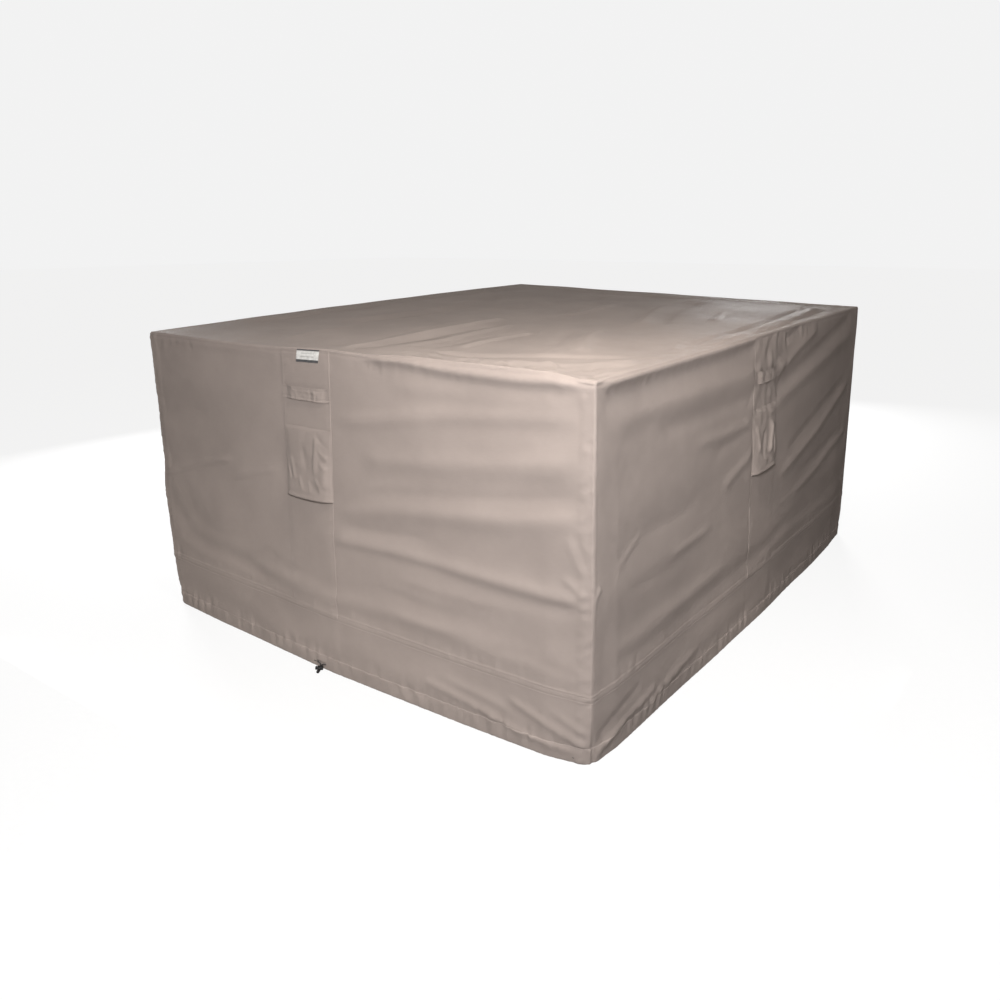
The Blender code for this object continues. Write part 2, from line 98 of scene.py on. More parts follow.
# ---------------------------------------------------------------- materials
def mixed_colour(tree, share, first, second):
    """Mixes two colours by a share. Either may be a socket."""
    mix = tree.nodes.new("ShaderNodeMix")
    mix.data_type = "RGBA"
    tree.links.new(share, mix.inputs["Factor"])
    for socket, colour in zip((one for one in mix.inputs if one.type == "RGBA"), (first, second)):
        if isinstance(colour, bpy.types.NodeSocket):
            tree.links.new(colour, socket)
        else:
            socket.default_value = colour
    return next(one for one in mix.outputs if one.type == "RGBA")


class Nodes:
    """A short way to write a node tree."""

    def __init__(self, name):
        self.material = bpy.data.materials.new(name)
        self.material.use_nodes = True
        self.tree = self.material.node_tree
        self.shader = self.tree.nodes["Principled BSDF"]

    def add(self, kind, inputs=(), **settings):
        node = self.tree.nodes.new(kind)
        for key, value in settings.items():
            setattr(node, key, value)
        for key, value in dict(inputs).items():
            self.put(node.inputs[key], value)
        return node

    def put(self, socket, value):
        if isinstance(value, bpy.types.NodeSocket):
            self.tree.links.new(value, socket)
        else:
            socket.default_value = value

    def math(self, operation, *values):
        return self.add("ShaderNodeMath", dict(enumerate(values)), operation=operation).outputs[0]

    def noise(self, vector, scale, detail=3.0, roughness=0.5, distortion=0.0):
        return self.add("ShaderNodeTexNoise", {
            "Vector": vector, "Scale": scale, "Detail": detail, "Roughness": roughness,
            "Distortion": distortion}).outputs["Fac"]

    def ramp(self, value, low, high, dark, light):
        """The two colours, mixed as value goes from low to high."""
        share = self.add("ShaderNodeMapRange", {
            "Value": value, "From Min": low, "From Max": high}).outputs["Result"]
        return mixed_colour(self.tree, share, (*dark, 1), (*light, 1))

    def bump(self, height, distance, strength=1.0, under=None):
        inputs = {"Height": height, "Distance": distance, "Strength": strength}
        if under is not None:
            inputs["Normal"] = under
        return self.add("ShaderNodeBump", inputs).outputs["Normal"]

    def finish(self, **sockets):
        for key, value in sockets.items():
            self.put(self.shader.inputs[key.replace("_", " ")], value)
        return self.material


def woven(name, dark, light, thread=0.0011, crumple=0.0006, roughness=0.66, sheen=0.06):
    """Plain-woven cloth, its threads along the UV axes, which are in metres."""
    n = Nodes(name)
    place = n.add("ShaderNodeTexCoord")
    metres = n.add("ShaderNodeSeparateXYZ", {"Vector": place.outputs["UV"]})
    turn = 2 * math.pi / thread
    warp = n.math("SINE", n.math("MULTIPLY", metres.outputs["X"], turn))
    weft = n.math("SINE", n.math("MULTIPLY", metres.outputs["Y"], turn))
    weave = n.math("MULTIPLY", warp, weft)
    cloudy = n.noise(place.outputs["Object"], 5.0, 4.0, 0.6)
    streaks = n.noise(n.add("ShaderNodeMapping", {
        "Vector": place.outputs["UV"], "Scale": (40, 900, 1)}).outputs["Vector"], 1.0, 2.0)
    tone = n.math("ADD", n.math("MULTIPLY", cloudy, 0.75), n.math("MULTIPLY", streaks, 0.25))
    colour = n.ramp(n.math("ADD", tone, n.math("MULTIPLY", weave, 0.05)), 0.35, 0.65, dark, light)
    soft = n.noise(place.outputs["Object"], 22.0, 5.0, 0.62, 0.8)
    fine = n.noise(place.outputs["Object"], 130.0, 3.0, 0.6)
    relief = n.bump(soft, crumple * 4, 0.5)
    relief = n.bump(fine, crumple, 0.35, relief)
    relief = n.bump(weave, thread * 0.25, 0.5, relief)
    rough = n.math("ADD", n.math("MULTIPLY", fine, 0.16), roughness - 0.08)
    return n.finish(Base_Color=colour, Roughness=rough, Normal=relief, Sheen_Weight=sheen,
                    Sheen_Roughness=0.45, Specular_IOR_Level=0.18)


def thread_material(name, dark, light):
    """Twisted sewing thread or braid."""
    n = Nodes(name)
    place = n.add("ShaderNodeTexCoord")
    strands = n.add("ShaderNodeTexWave", {"Vector": place.outputs["Object"], "Scale": 700.0,
                                          "Distortion": 2.0}, bands_direction="DIAGONAL")
    colour = n.ramp(strands.outputs["Fac"], 0.0, 1.0, dark, light)
    return n.finish(Base_Color=colour, Roughness=0.7, Sheen_Weight=0.3,
                    Normal=n.bump(strands.outputs["Fac"], 0.0002, 0.6))


def braid_material(name):
    """Round black braid: the pattern runs round and along the cord, in its UVs."""
    n = Nodes(name)
    place = n.add("ShaderNodeTexCoord")
    metres = n.add("ShaderNodeSeparateXYZ", {"Vector": place.outputs["UV"]})
    along = n.math("MULTIPLY", metres.outputs["X"], 2 * math.pi / 0.0024)
    round_it = n.math("MULTIPLY", metres.outputs["Y"], 8 * math.pi)
    one = n.math("SINE", n.math("ADD", along, round_it))
    two = n.math("SINE", n.math("SUBTRACT", along, round_it))
    strands = n.math("MAXIMUM", one, two)
    colour = n.ramp(strands, -0.4, 1.0, (0.004, 0.004, 0.004), (0.028, 0.027, 0.026))
    return n.finish(Base_Color=colour, Roughness=0.72, Sheen_Weight=0.25,
                    Normal=n.bump(strands, 0.0003, 0.8))


def moulded(name, colour, roughness):
    """Moulded plastic with a fine eroded grain."""
    n = Nodes(name)
    place = n.add("ShaderNodeTexCoord")
    grain = n.noise(place.outputs["Object"], 2500.0, 2.0)
    worn = n.noise(place.outputs["Object"], 180.0, 3.0)
    shade = n.ramp(worn, 0.35, 0.7, colour, tuple(1.6 * part for part in colour))
    rough = n.math("ADD", n.math("MULTIPLY", worn, 0.2), roughness - 0.1)
    return n.finish(Base_Color=shade, Roughness=rough, Normal=n.bump(grain, 0.00008, 0.5),
                    Specular_IOR_Level=0.45)


def wire_material(name):
    n = Nodes(name)
    place = n.add("ShaderNodeTexCoord")
    drawn = n.noise(place.outputs["Object"], 900.0, 2.0)
    shade = n.ramp(drawn, 0.3, 0.7, (0.40, 0.40, 0.41), (0.58, 0.58, 0.58))
    rough = n.math("ADD", n.math("MULTIPLY", drawn, 0.15), 0.25)
    return n.finish(Base_Color=shade, Roughness=rough, Metallic=1.0)


def net_material(name):
    """Open knitted net: holes in a hexagonal knit, in its UVs."""
    n = Nodes(name)
    place = n.add("ShaderNodeTexCoord")
    cells = n.add("ShaderNodeTexVoronoi", {"Vector": place.outputs["UV"], "Scale": 420.0,
                                           "Randomness": 0.15}, feature="DISTANCE_TO_EDGE")
    yarn = n.math("LESS_THAN", cells.outputs["Distance"], 0.17)
    shade = n.ramp(n.noise(place.outputs["Object"], 300.0), 0.3, 0.7,
                   (0.010, 0.010, 0.010), (0.030, 0.029, 0.028))
    return n.finish(Base_Color=shade, Roughness=0.8, Alpha=yarn, Sheen_Weight=0.2,
                    Normal=n.bump(cells.outputs["Distance"], 0.0004, 0.6))


def label_material(name):
    """White woven label, dark in a band along its top and its bottom, and with two plain pale stripes.

    UV: 0 to 1 over it.
    """
    n = Nodes(name)
    place = n.add("ShaderNodeTexCoord")
    part = n.add("ShaderNodeSeparateXYZ", {"Vector": place.outputs["UV"]})
    line = n.math("MAXIMUM", n.math("LESS_THAN", part.outputs["Y"], 0.20),
                  n.math("GREATER_THAN", part.outputs["Y"], 0.86))
    from_middle = n.math("ABSOLUTE", n.math("SUBTRACT", part.outputs["Y"], 0.53))
    from_centre = n.math("ABSOLUTE", n.math("SUBTRACT", part.outputs["X"], 0.5))
    stripe = n.math("MULTIPLY", n.math("COMPARE", from_middle, 0.11, 0.035),
                    n.math("LESS_THAN", from_centre, 0.30))
    line = n.math("MAXIMUM", line, n.math("MULTIPLY", stripe, 0.30))
    warp = n.math("SINE", n.math("MULTIPLY", part.outputs["X"], 1100.0))
    weft = n.math("SINE", n.math("MULTIPLY", part.outputs["Y"], 480.0))
    weave = n.math("MULTIPLY", warp, weft)
    white = n.ramp(n.math("ADD", n.noise(place.outputs["Object"], 120.0), n.math("MULTIPLY", weave, 0.1)),
                   0.3, 0.75, (0.60, 0.59, 0.57), (0.82, 0.81, 0.79))
    shade = mixed_colour(n.tree, line, white, (0.05, 0.05, 0.055, 1))
    return n.finish(Base_Color=shade, Roughness=0.55, Sheen_Weight=0.3,
                    Normal=n.bump(weave, 0.0002, 0.4))


CLOTH = woven("cover_fabric", (0.326, 0.274, 0.250), (0.372, 0.313, 0.286), crumple=0.00018)
THREAD = thread_material("sewing_thread", (0.20, 0.165, 0.15), (0.40, 0.34, 0.31))
NET = net_material("vent_net")
LABEL = label_material("label_weave")
BRAID = braid_material("black_cord")
PLASTIC = moulded("black_plastic", (0.011, 0.011, 0.012), 0.42)
STEEL = wire_material("spring_steel")


# ---------------------------------------------------------------- drawcord
CORD = 0.0026             # diameter
CORD_HEIGHT = 0.013
FRONT_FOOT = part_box("front_hem_casing")[0][1]
LANE = FRONT_FOOT + HEM_THICK / 2
SLIT = -0.073             # middle of the slit, along the front
SLIT_HALF, SLIT_HEIGHTS = 0.017, (0.006, 0.020)
LOCK = Vector((SLIT + 0.0071, FRONT_FOOT - 0.0105, 0.0066))
TAILS_WAY = Vector((math.cos(math.radians(-56)), math.sin(math.radians(-56)), 0))
TAILS_ASIDE = Vector((-TAILS_WAY.y, TAILS_WAY.x, 0))
END_AT = 0.0110           # from the lock's middle to the mouth of the cord end


def smooth_line(points, per_span):
    """Points along a Catmull-Rom curve through the given ones."""
    points = [np.array(point, float) for point in points]
    ends = [2 * points[0] - points[1], *points, 2 * points[-1] - points[-2]]
    line = []
    for a, b, c, d in zip(ends, ends[1:], ends[2:], ends[3:]):
        for step in range(per_span):
            t = step / per_span
            line.append(0.5 * (2 * b + (c - a) * t + (2 * a - 5 * b + 4 * c - d) * t ** 2
                               + (3 * b - a - 3 * c + d) * t ** 3))
    return np.array([*line, points[-1]])


def tail_point(along, across, height):
    place = LOCK + TAILS_WAY * along + TAILS_ASIDE * across
    return (place.x, place.y, height)


def link(name, data, material=None):
    thing = bpy.data.objects.new(name, data)
    bpy.context.scene.collection.objects.link(thing)
    if material is not None:
        data.materials.append(material)
    return thing


def mesh_of(name, verts, faces, uv=None, smooth=True):
    """A mesh. uv, if given, is one pair for each vertex."""
    data = bpy.data.meshes.new(name)
    data.from_pydata([tuple(v) for v in verts], [], [tuple(f) for f in faces])
    if uv is not None:
        layer = data.uv_layers.new(name="metres")
        loops = np.zeros(len(data.loops), int)
        data.loops.foreach_get("vertex_index", loops)
        layer.data.foreach_set("uv", np.asarray(uv, float)[loops].ravel())
    data.polygons.foreach_set("use_smooth", [smooth] * len(data.polygons))
    data.update()
    return data


def tube(name, line, radius, material, sides=12, braid=False):
    """A tube along a line, with rings square to it and closed ends. UV: metres along, turns round."""
    line = np.asarray(line, float)
    ahead = np.gradient(line, axis=0)
    ahead /= np.linalg.norm(ahead, axis=1)[:, None]
    up = np.array([0.0, 0.0, 1.0])
    across = np.cross(ahead, up)
    across /= np.linalg.norm(across, axis=1)[:, None]
    upward = np.cross(across, ahead)
    run = np.concatenate([[0], np.cumsum(np.linalg.norm(np.diff(line, axis=0), axis=1))])
    angle = 2 * np.pi * np.arange(sides) / sides
    radii = np.full((len(line), sides), radius)
    if braid:
        radii = radii * (1 + 0.04 * np.sin(run[:, None] * 2 * np.pi / 0.0024 + 4 * angle))
    rings = line[:, None] + radii[..., None] * (
        np.cos(angle)[:, None] * across[:, None] + np.sin(angle)[:, None] * upward[:, None])
    verts = rings.reshape(-1, 3)
    uv = np.stack([np.repeat(run, sides), np.tile(np.arange(sides) / sides, len(line))], 1)
    faces = []
    for i in range(len(line) - 1):
        for j in range(sides):
            k = (j + 1) % sides
            faces.append((i * sides + j, i * sides + k, (i + 1) * sides + k, (i + 1) * sides + j))
    faces.append(tuple(range(sides)))
    faces.append(tuple(reversed(range((len(line) - 1) * sides, len(line) * sides))))
    return link(name, mesh_of(name, verts, faces, uv), material)


TAIL_STARTS = {
    "left": [(SLIT - 0.0300, LANE, CORD_HEIGHT), (SLIT - 0.0140, LANE + 0.0002, CORD_HEIGHT),
             (SLIT - 0.0060, LANE - 0.0018, CORD_HEIGHT - 0.0004),
             (SLIT - 0.0022, LANE - 0.0042, CORD_HEIGHT - 0.0018)],
    "right": [(SLIT + 0.0300, LANE, CORD_HEIGHT), (SLIT + 0.0165, LANE + 0.0002, CORD_HEIGHT),
              (SLIT + 0.0085, LANE - 0.0014, CORD_HEIGHT - 0.0004),
              (SLIT + 0.0056, LANE - 0.0036, CORD_HEIGHT - 0.0014)]}
TAIL_END = [(-0.0098, 0.0090), (-0.0074, 0.0071), (-0.0060, 0.0066), (0.0095, 0.0064),
            (END_AT, 0.0061), (END_AT + 0.0060, 0.0051)]      # along the tails, and up
tails = {}
for name, across in (("left", -1), ("right", 1)):
    route = TAIL_STARTS[name] + [tail_point(along, across * (CORD + 0.0003) / 2, up)
                                 for along, up in TAIL_END]
    line = smooth_line(route, 5)
    tail = tube(f"drawcord_{name}_tail", line, CORD / 2, BRAID, sides=16, braid=True)
    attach(tail, "root")
    tails[name] = (tail, line)
for name, with_pieces in (("left", ["cord_end"]),
                          ("right", ["cord_lock_body", "cord_lock_plunger", "cord_lock_spring"])):
    tail, line = tails[name]


# ---------------------------------------------------------------- the shell of cloth, on its box
def filled(keys, step):
    """The keys, sorted, with equal parts of about a step between them."""
    keys = sorted(keys)
    found = [keys[0]]
    for a, b in zip(keys, keys[1:]):
        parts = max(1, round((b - a) / step))
        found += [a + (b - a) * part / parts for part in range(1, parts + 1)]
    return np.array(found)


STEP = 0.0145
EDGE = (0.0, 0.004, 0.010, 0.019, 0.032)


def lines_along(half, strip):
    """Grid lines along a side: close together at its ends and at the edges of the strip."""
    keys = [sign * (half - edge) for edge in EDGE for sign in (-1, 1)]
    keys += [strip + sign * off for sign in (-1, 1)
             for off in (STRIP_HALF - 0.005, STRIP_HALF, STRIP_HALF + 0.005, WINDOW_HALF)]
    return filled(keys, STEP)


LINES_X = lines_along(HALF_X, STRIP_AT["front"])
LINES_Y = lines_along(HALF_Y, STRIP_AT["right"])
LINES_Z = filled([0.0, 0.004, 0.012, 0.030, BAND_FROM, HEM_TOP, 0.046, 0.056, 0.148, 0.155, SEAM_LOW,
                  0.163, BAND_TO, 0.173, SEAM_HIGH, 0.181, 0.190, WINDOW_LOW, WINDOW_HIGH,
                  0.868, 0.880, 0.888, 0.893, 0.897, HEIGHT], STEP)
NX, NY, NZ = len(LINES_X), len(LINES_Y), len(LINES_Z)

ix, iy, iz = np.meshgrid(range(NX), range(NY), range(NZ), indexing="ij")
outer = (ix == 0) | (ix == NX - 1) | (iy == 0) | (iy == NY - 1) | (iz == NZ - 1)
NUMBER = np.full(outer.shape, -1)
NUMBER[outer] = np.arange(outer.sum())
FLAT = np.stack([LINES_X[ix[outer]], LINES_Y[iy[outer]], LINES_Z[iz[outer]]], 1)
GRIDS = {"front": NUMBER[:, 0, :], "right": NUMBER[-1, :, :], "back": NUMBER[::-1, -1, :],
         "left": NUMBER[0, ::-1, :], "top": NUMBER[:, :, -1]}
ALONG = {"front": FLAT[:, 0], "right": FLAT[:, 1], "back": -FLAT[:, 0], "left": -FLAT[:, 1]}
OUTWARD = {"front": (0, -1), "right": (1, 0), "back": (0, 1), "left": (-1, 0)}


def ease(value):
    value = np.clip(value, 0.0, 1.0)
    return value * value * (3 - 2 * value)


def hill(value, middle, width):
    return np.exp(-((value - middle) / width) ** 2)


# How far the feet of the two hidden walls stand out from the line between their corners, along the side.
FOOT = {
    "back": ((-.81, 0), (-.66, .011), (-.45, .021), (-.2, .028), (.09, .030), (.3, .027), (.5, .019),
             (.7, .009), (.81, 0)),
    "left": ((-.955, 0), (-.8, .008), (-.6, .012), (-.3, .018), (0, .020), (.3, .019), (.6, .013),
             (.8, .008), (.955, 0))}
FRONT_BOW, FRONT_BOW_AT = 0.042, 0.09
RIGHT_BOW, RIGHT_BOW_AT = 0.020, 0.07


def foot_out(side, along):
    """How far the foot of a wall stands out from the line between its corners."""
    if side == "front":
        rising = FRONT_BOW + 0.0467 * (along + 0.0186) - 0.0025 * hill(along, -0.75, 0.12)
        rising *= np.clip((HALF_X + along) / 0.05, 0, 1)
        away = np.maximum(along - FRONT_BOW_AT, 0) / (HALF_X - FRONT_BOW_AT)
        falling = FRONT_BOW * (1 - 0.42 * away ** 1.7)
        falling *= np.clip((HALF_X + 0.003 - along) / 0.117, 0, 1) ** 0.58       # the rounded near corner
        return np.minimum(rising, falling)
    if side == "right":
        away = np.abs(along - RIGHT_BOW_AT)
        to_left = 1 - 0.62 * (away / (HALF_Y + RIGHT_BOW_AT)) ** 1.25
        to_left *= np.clip((HALF_Y + along) / 0.09, 0, 1)
        to_right = 1 - 0.62 * (away / (HALF_Y - RIGHT_BOW_AT)) ** 1.4
        to_right *= np.clip((HALF_Y - along) / 0.175, 0, 1)
        return RIGHT_BOW * np.where(along < RIGHT_BOW_AT, to_left, to_right)
    return np.interp(along, *zip(*FOOT[side]))


def left_edge_out(height):
    """How far the left front edge is pushed out: a bulge that ends in a fold half way up."""
    return (0.006 + 0.034 * height) * ease((0.50 - height) / 0.12) + 0.004 * hill(height, 0.50, 0.08)


# Folds as strokes: height, width on the left of the stroke, width on its right, taper, then points
# along the side and up, as seen from outside. Heights and widths in mm.
FOLDS = {
    "front": (
        (5.5, 14, 8, .15, (-.81, .440), (-.65, .495), (-.50, .540), (-.43, .548)),
        (3.5, 14, 9, .25, (-.46, .490), (-.33, .530), (-.20, .562)),
        (-2, 30, 30, .3, (-.70, .70), (-.5, .66), (-.3, .70)),
        (2, 40, 30, .3, (-.72, .78), (-.5, .76), (-.25, .80)),
        (2, 25, 25, .3, (-.76, .30), (-.55, .27), (-.3, .30)),
        (6, 24, 20, .12, (.0, .716), (.2, .745), (.4, .775), (.6, .795), (.79, .812)),
        (7, 26, 34, .12, (.10, .625), (.2, .643), (.4, .662), (.6, .686), (.79, .718)),
        (7, 19, 28, .10, (.0, .470), (.2, .512), (.4, .538), (.6, .562), (.805, .600)),
        (-3, 16, 16, .10, (.1, .530), (.2, .555), (.4, .582), (.6, .610), (.79, .645)),
        (7, 20, 13, .08, (-.02, .395), (.1, .404), (.3, .409), (.6, .404), (.80, .400)),
        (-3, 12, 14, .2, (.03, .440), (.2, .452), (.36, .468)),
        (-3, 12, 22, .2, (.36, .380), (.6, .374), (.81, .384)),
        (4, 9, 8, .2, (.73, .452), (.765, .432), (.795, .412)),
        (2, 16, 12, .3, (.18, .345), (.4, .335), (.62, .345)),
        (-2, 16, 16, .3, (.12, .30), (.35, .285), (.55, .29)),
        (3, 12, 12, .3, (.18, .240), (.3, .238), (.48, .242)),
        (-2, 14, 14, .3, (.5, .225), (.65, .235), (.8, .22)),
        (4, 9, 7, .15, (.30, .085), (.45, .068), (.6, .043), (.80, .022)),
        (5, 9, 8, .15, (.58, .118), (.68, .088), (.75, .062), (.81, .040)),
        (3, 12, 9, .3, (.36, .112), (.52, .095), (.62, .082)),
        (3, 9, 8, .3, (.70, .125), (.76, .095), (.81, .07)),
        (10, 13, 11, .12, (.12, .893), (.25, .888), (.4, .878), (.6, .875), (.7, .880), (.80, .888)),
        (3, 30, 20, .15, (.2, .825), (.4, .828), (.6, .832), (.79, .845)),
        (-2, 12, 20, .2, (-.75, .870), (-.5, .862), (-.2, .872)),
        (-2.5, 8, 8, .3, (.76, .58), (.780, .52), (.795, .47)),
        (2.5, 8, 8, .3, (.745, .56), (.765, .50), (.785, .46)),
    ),
    "right": (
        (4, 6, 6, .2, (-.955, .400), (-.945, .420), (-.930, .440)),
        (2, 6, 6, .3, (-.87, .455), (-.80, .490), (-.74, .520)),
        (-5, 14, 12, .2, (.10, .830), (.15, .812), (.20, .790)),
        (6, 10, 12, .05, (-.94, .889), (-.6, .890), (-.3, .892), (-.05, .896)),
        (-5, 14, 22, .06, (-.94, .862), (-.6, .860), (-.3, .862), (-.05, .872)),
        (6, 24, 32, .10, (-.93, .802), (-.6, .797), (-.25, .797), (.1, .795), (.2, .800)),
        (-4, 24, 22, .15, (-.70, .738), (-.3, .735), (.05, .728)),
        (4, 16, 18, .2, (-.50, .668), (-.3, .660), (-.06, .655)),
        (7, 20, 14, .12, (.10, .782), (.2, .800), (.32, .835), (.47, .872)),
        (-6, 15, 14, .12, (.16, .862), (.22, .872), (.30, .885)),
        (-7, 22, 20, .08, (.06, .725), (.15, .742), (.3, .764), (.5, .804), (.7, .842), (.88, .872)),
        (7, 20, 26, .08, (.06, .680), (.22, .708), (.48, .752), (.7, .790), (.90, .822)),
        (-4, 18, 18, .15, (.20, .500), (.37, .540), (.52, .580), (.64, .612), (.85, .660)),
        (7, 16, 20, .10, (.14, .440), (.25, .462), (.37, .487), (.52, .522), (.64, .560), (.77, .602),
         (.90, .640)),
        (6, 16, 18, .12, (.28, .345), (.40, .357), (.52, .374), (.71, .418), (.85, .442), (.92, .46)),
        (-3, 14, 18, .2, (.36, .400), (.55, .420), (.8, .470)),
        (2, 12, 12, .3, (.1, .33), (.2, .338), (.32, .34)),
        (5, 14, 20, .2, (-.30, .505), (-.20, .535), (-.06, .575)),
        (-3, 18, 18, .2, (-.38, .615), (-.24, .63), (-.08, .645)),
        (3, 14, 12, .25, (-.62, .410), (-.5, .408), (-.35, .412)),
        (-2, 20, 20, .25, (-.86, .39), (-.6, .375), (-.40, .385)),
        (-2, 22, 20, .3, (-.80, .52), (-.6, .50), (-.42, .51)),
        (2, 20, 20, .3, (-.75, .27), (-.5, .26), (-.2, .28)),
        (2, 20, 20, .3, (.15, .25), (.45, .265), (.8, .255)),
        (6, 12, 10, .12, (-.95, .018), (-.85, .050), (-.75, .066), (-.66, .076)),
        (5, 12, 12, .2, (-.76, .035), (-.6, .060), (-.42, .082)),
        (-3, 10, 12, .2, (-.94, .06), (-.84, .10), (-.74, .12)),
    ),
    "back": (
        (6, 30, 16, .10, (-.79, .60), (-.5, .55), (-.2, .53), (-.04, .52)),
        (-3, 14, 24, .15, (-.76, .57), (-.5, .52), (-.2, .50)),
        (5, 40, 26, .10, (-.78, .82), (-.4, .79), (-.1, .75)),
        (-4, 22, 20, .2, (-.72, .76), (-.4, .73), (-.05, .70)),
        (6, 20, 13, .10, (.2, .43), (.45, .44), (.8, .47)),
        (-3, 14, 22, .2, (.22, .40), (.5, .41), (.8, .44)),
        (6, 26, 18, .10, (.22, .70), (.45, .66), (.80, .60)),
        (-4, 22, 14, .2, (.25, .67), (.5, .63), (.78, .57)),
        (4, 26, 26, .2, (.2, .84), (.5, .82), (.78, .84)),
        (3, 22, 16, .3, (-.7, .34), (-.4, .35), (-.1, .33)),
        (-3, 20, 14, .3, (-.6, .27), (-.3, .26), (.0, .28)),
        (-3, 12, 10, .3, (.4, .09), (.6, .06), (.8, .03)),
        (4, 12, 10, .3, (-.80, .03), (-.7, .07), (-.5, .10)),
        (-6, 10, 20, .15, (-.75, .90), (-.3, .885), (.2, .880), (.7, .890)),
    ),
    "left": (
        (7, 32, 16, .08, (-.94, .66), (-.6, .60), (-.3, .58), (-.1, .57)),
        (-4, 14, 24, .15, (-.9, .63), (-.6, .57), (-.3, .55)),
        (5, 20, 14, .10, (-.93, .36), (-.6, .40), (-.3, .46), (-.1, .48)),
        (-3, 16, 22, .2, (-.85, .33), (-.6, .37), (-.3, .43)),
        (6, 26, 16, .10, (.12, .50), (.4, .48), (.7, .45), (.94, .43)),
        (-4, 14, 24, .2, (.14, .47), (.4, .45), (.7, .42)),
        (5, 36, 24, .15, (.1, .76), (.4, .78), (.8, .82)),
        (-4, 22, 18, .2, (.12, .71), (.4, .73), (.8, .77)),
        (4, 26, 24, .2, (-.85, .82), (-.5, .80), (-.15, .80)),
        (3, 20, 16, .3, (.15, .33), (.45, .32), (.8, .34)),
        (-3, 18, 14, .3, (-.7, .25), (-.4, .26), (.3, .25)),
        (4, 12, 10, .3, (.92, .03), (.82, .07), (.6, .09)),
        (-4, 12, 10, .3, (-.93, .05), (-.8, .09), (-.6, .11)),
        (-6, 10, 20, .15, (-.9, .885), (-.3, .878), (.2, .880), (.9, .872)),
    ),
    "top": (
        (8, 26, 20, .1, (-.005, -.93), (-.02, -.7), (-.03, -.4), (-.05, -.14)),
        (-4, 26, 26, .15, (-.09, -.90), (-.095, -.6), (-.09, -.25)),
        (-6, 18, 20, .15, (.042, -.90), (.036, -.6), (.035, -.25)),
        (6, 20, 20, .15, (.10, -.82), (.095, -.62), (.08, -.40), (.05, -.22)),
        (8, 22, 18, .15, (.235, -.72), (.225, -.5), (.235, -.36)),
        (-5, 18, 20, .2, (.17, -.78), (.165, -.5), (.18, -.3)),
        (9, 26, 20, .1, (.20, .80), (.22, .5), (.28, .28), (.36, .08), (.42, -.06)),
        (-5, 20, 24, .12, (.26, .72), (.31, .4), (.42, .1), (.48, -.04)),
        (8, 22, 20, .12, (.36, -.22), (.44, -.40), (.50, -.52), (.56, -.62)),
        (-5, 22, 22, .15, (.31, -.26), (.38, -.44), (.45, -.60)),
        (8, 22, 22, .12, (.0, .55), (.05, .35), (.08, .15), (.08, .0)),
        (-5, 22, 24, .15, (-.06, .5), (-.01, .30), (.02, .05)),
        (-9, 20, 20, .12, (.20, -.80), (.35, -.785), (.48, -.75), (.6, -.68), (.71, -.58)),
        (6, 24, 26, .15, (.26, -.86), (.4, -.855), (.55, -.83), (.68, -.76), (.76, -.64)),
        (7, 16, 16, .08, (.70, .80), (.715, .55), (.745, .2), (.755, -.05), (.765, -.35)),
        (-7, 16, 16, .10, (.655, .78), (.67, .5), (.70, .2), (.712, -.1), (.72, -.40)),
        (6, 16, 16, .15, (.46, .48), (.50, .36), (.54, .24), (.57, .14)),
        (5, 16, 16, .2, (.68, -.28), (.70, -.36), (.74, -.46)),
        (-9, 6, 7, .2, (.40, -.922), (.55, -.926), (.70, -.930), (.80, -.936)),
        (5, 8, 8, .10, (.70, .84), (.735, .5), (.765, .2), (.775, -.1), (.78, -.4)),
        (-5, 7, 7, .10, (.74, .86), (.752, .5), (.780, .2), (.786, .0)),
        (4, 7, 7, .2, (.62, .86), (.66, .72), (.70, .60)),
        (4, 7, 7, .2, (.70, .90), (.74, .82), (.75, .70)),
        (6, 8, 8, .2, (.20, -.85), (.29, -.895), (.33, -.94)),
        (-5, 7, 7, .2, (.27, -.85), (.35, -.89), (.39, -.94)),
        (6, 8, 8, .2, (.36, -.83), (.44, -.88), (.48, -.94)),
        (-6, 7, 7, .2, (.46, -.82), (.53, -.88), (.56, -.94)),
        (6, 8, 8, .2, (.56, -.79), (.64, -.85), (.67, -.93)),
        (-3, 9, 9, .2, (.66, -.74), (.71, -.82), (.74, -.92)),
        (5, 30, 30, .15, (-.70, .55), (-.5, .2), (-.45, -.2), (-.5, -.6)),
        (-4, 26, 26, .15, (-.62, .55), (-.42, .2), (-.37, -.2), (-.42, -.55)),
        (4, 28, 28, .15, (-.25, .8), (-.22, .4), (-.28, .05), (-.25, -.3)),
        (5, 22, 22, .2, (-.31, -.88), (-.33, -.72), (-.34, -.55)),
        (-4, 26, 26, .15, (-.17, .75), (-.14, .4), (-.20, .05)),
        (5, 18, 18, .12, (-.74, .8), (-.755, .3), (-.75, -.2), (-.74, -.8)),
        (-4, 18, 18, .12, (-.69, .8), (-.70, .3), (-.70, -.2), (-.69, -.75)),
        (4, 24, 24, .2, (-.6, .88), (-.2, .87), (.3, .885), (.6, .87)),
        (-4, 24, 24, .2, (-.55, .82), (-.2, .81), (.3, .82)),
    ),
}


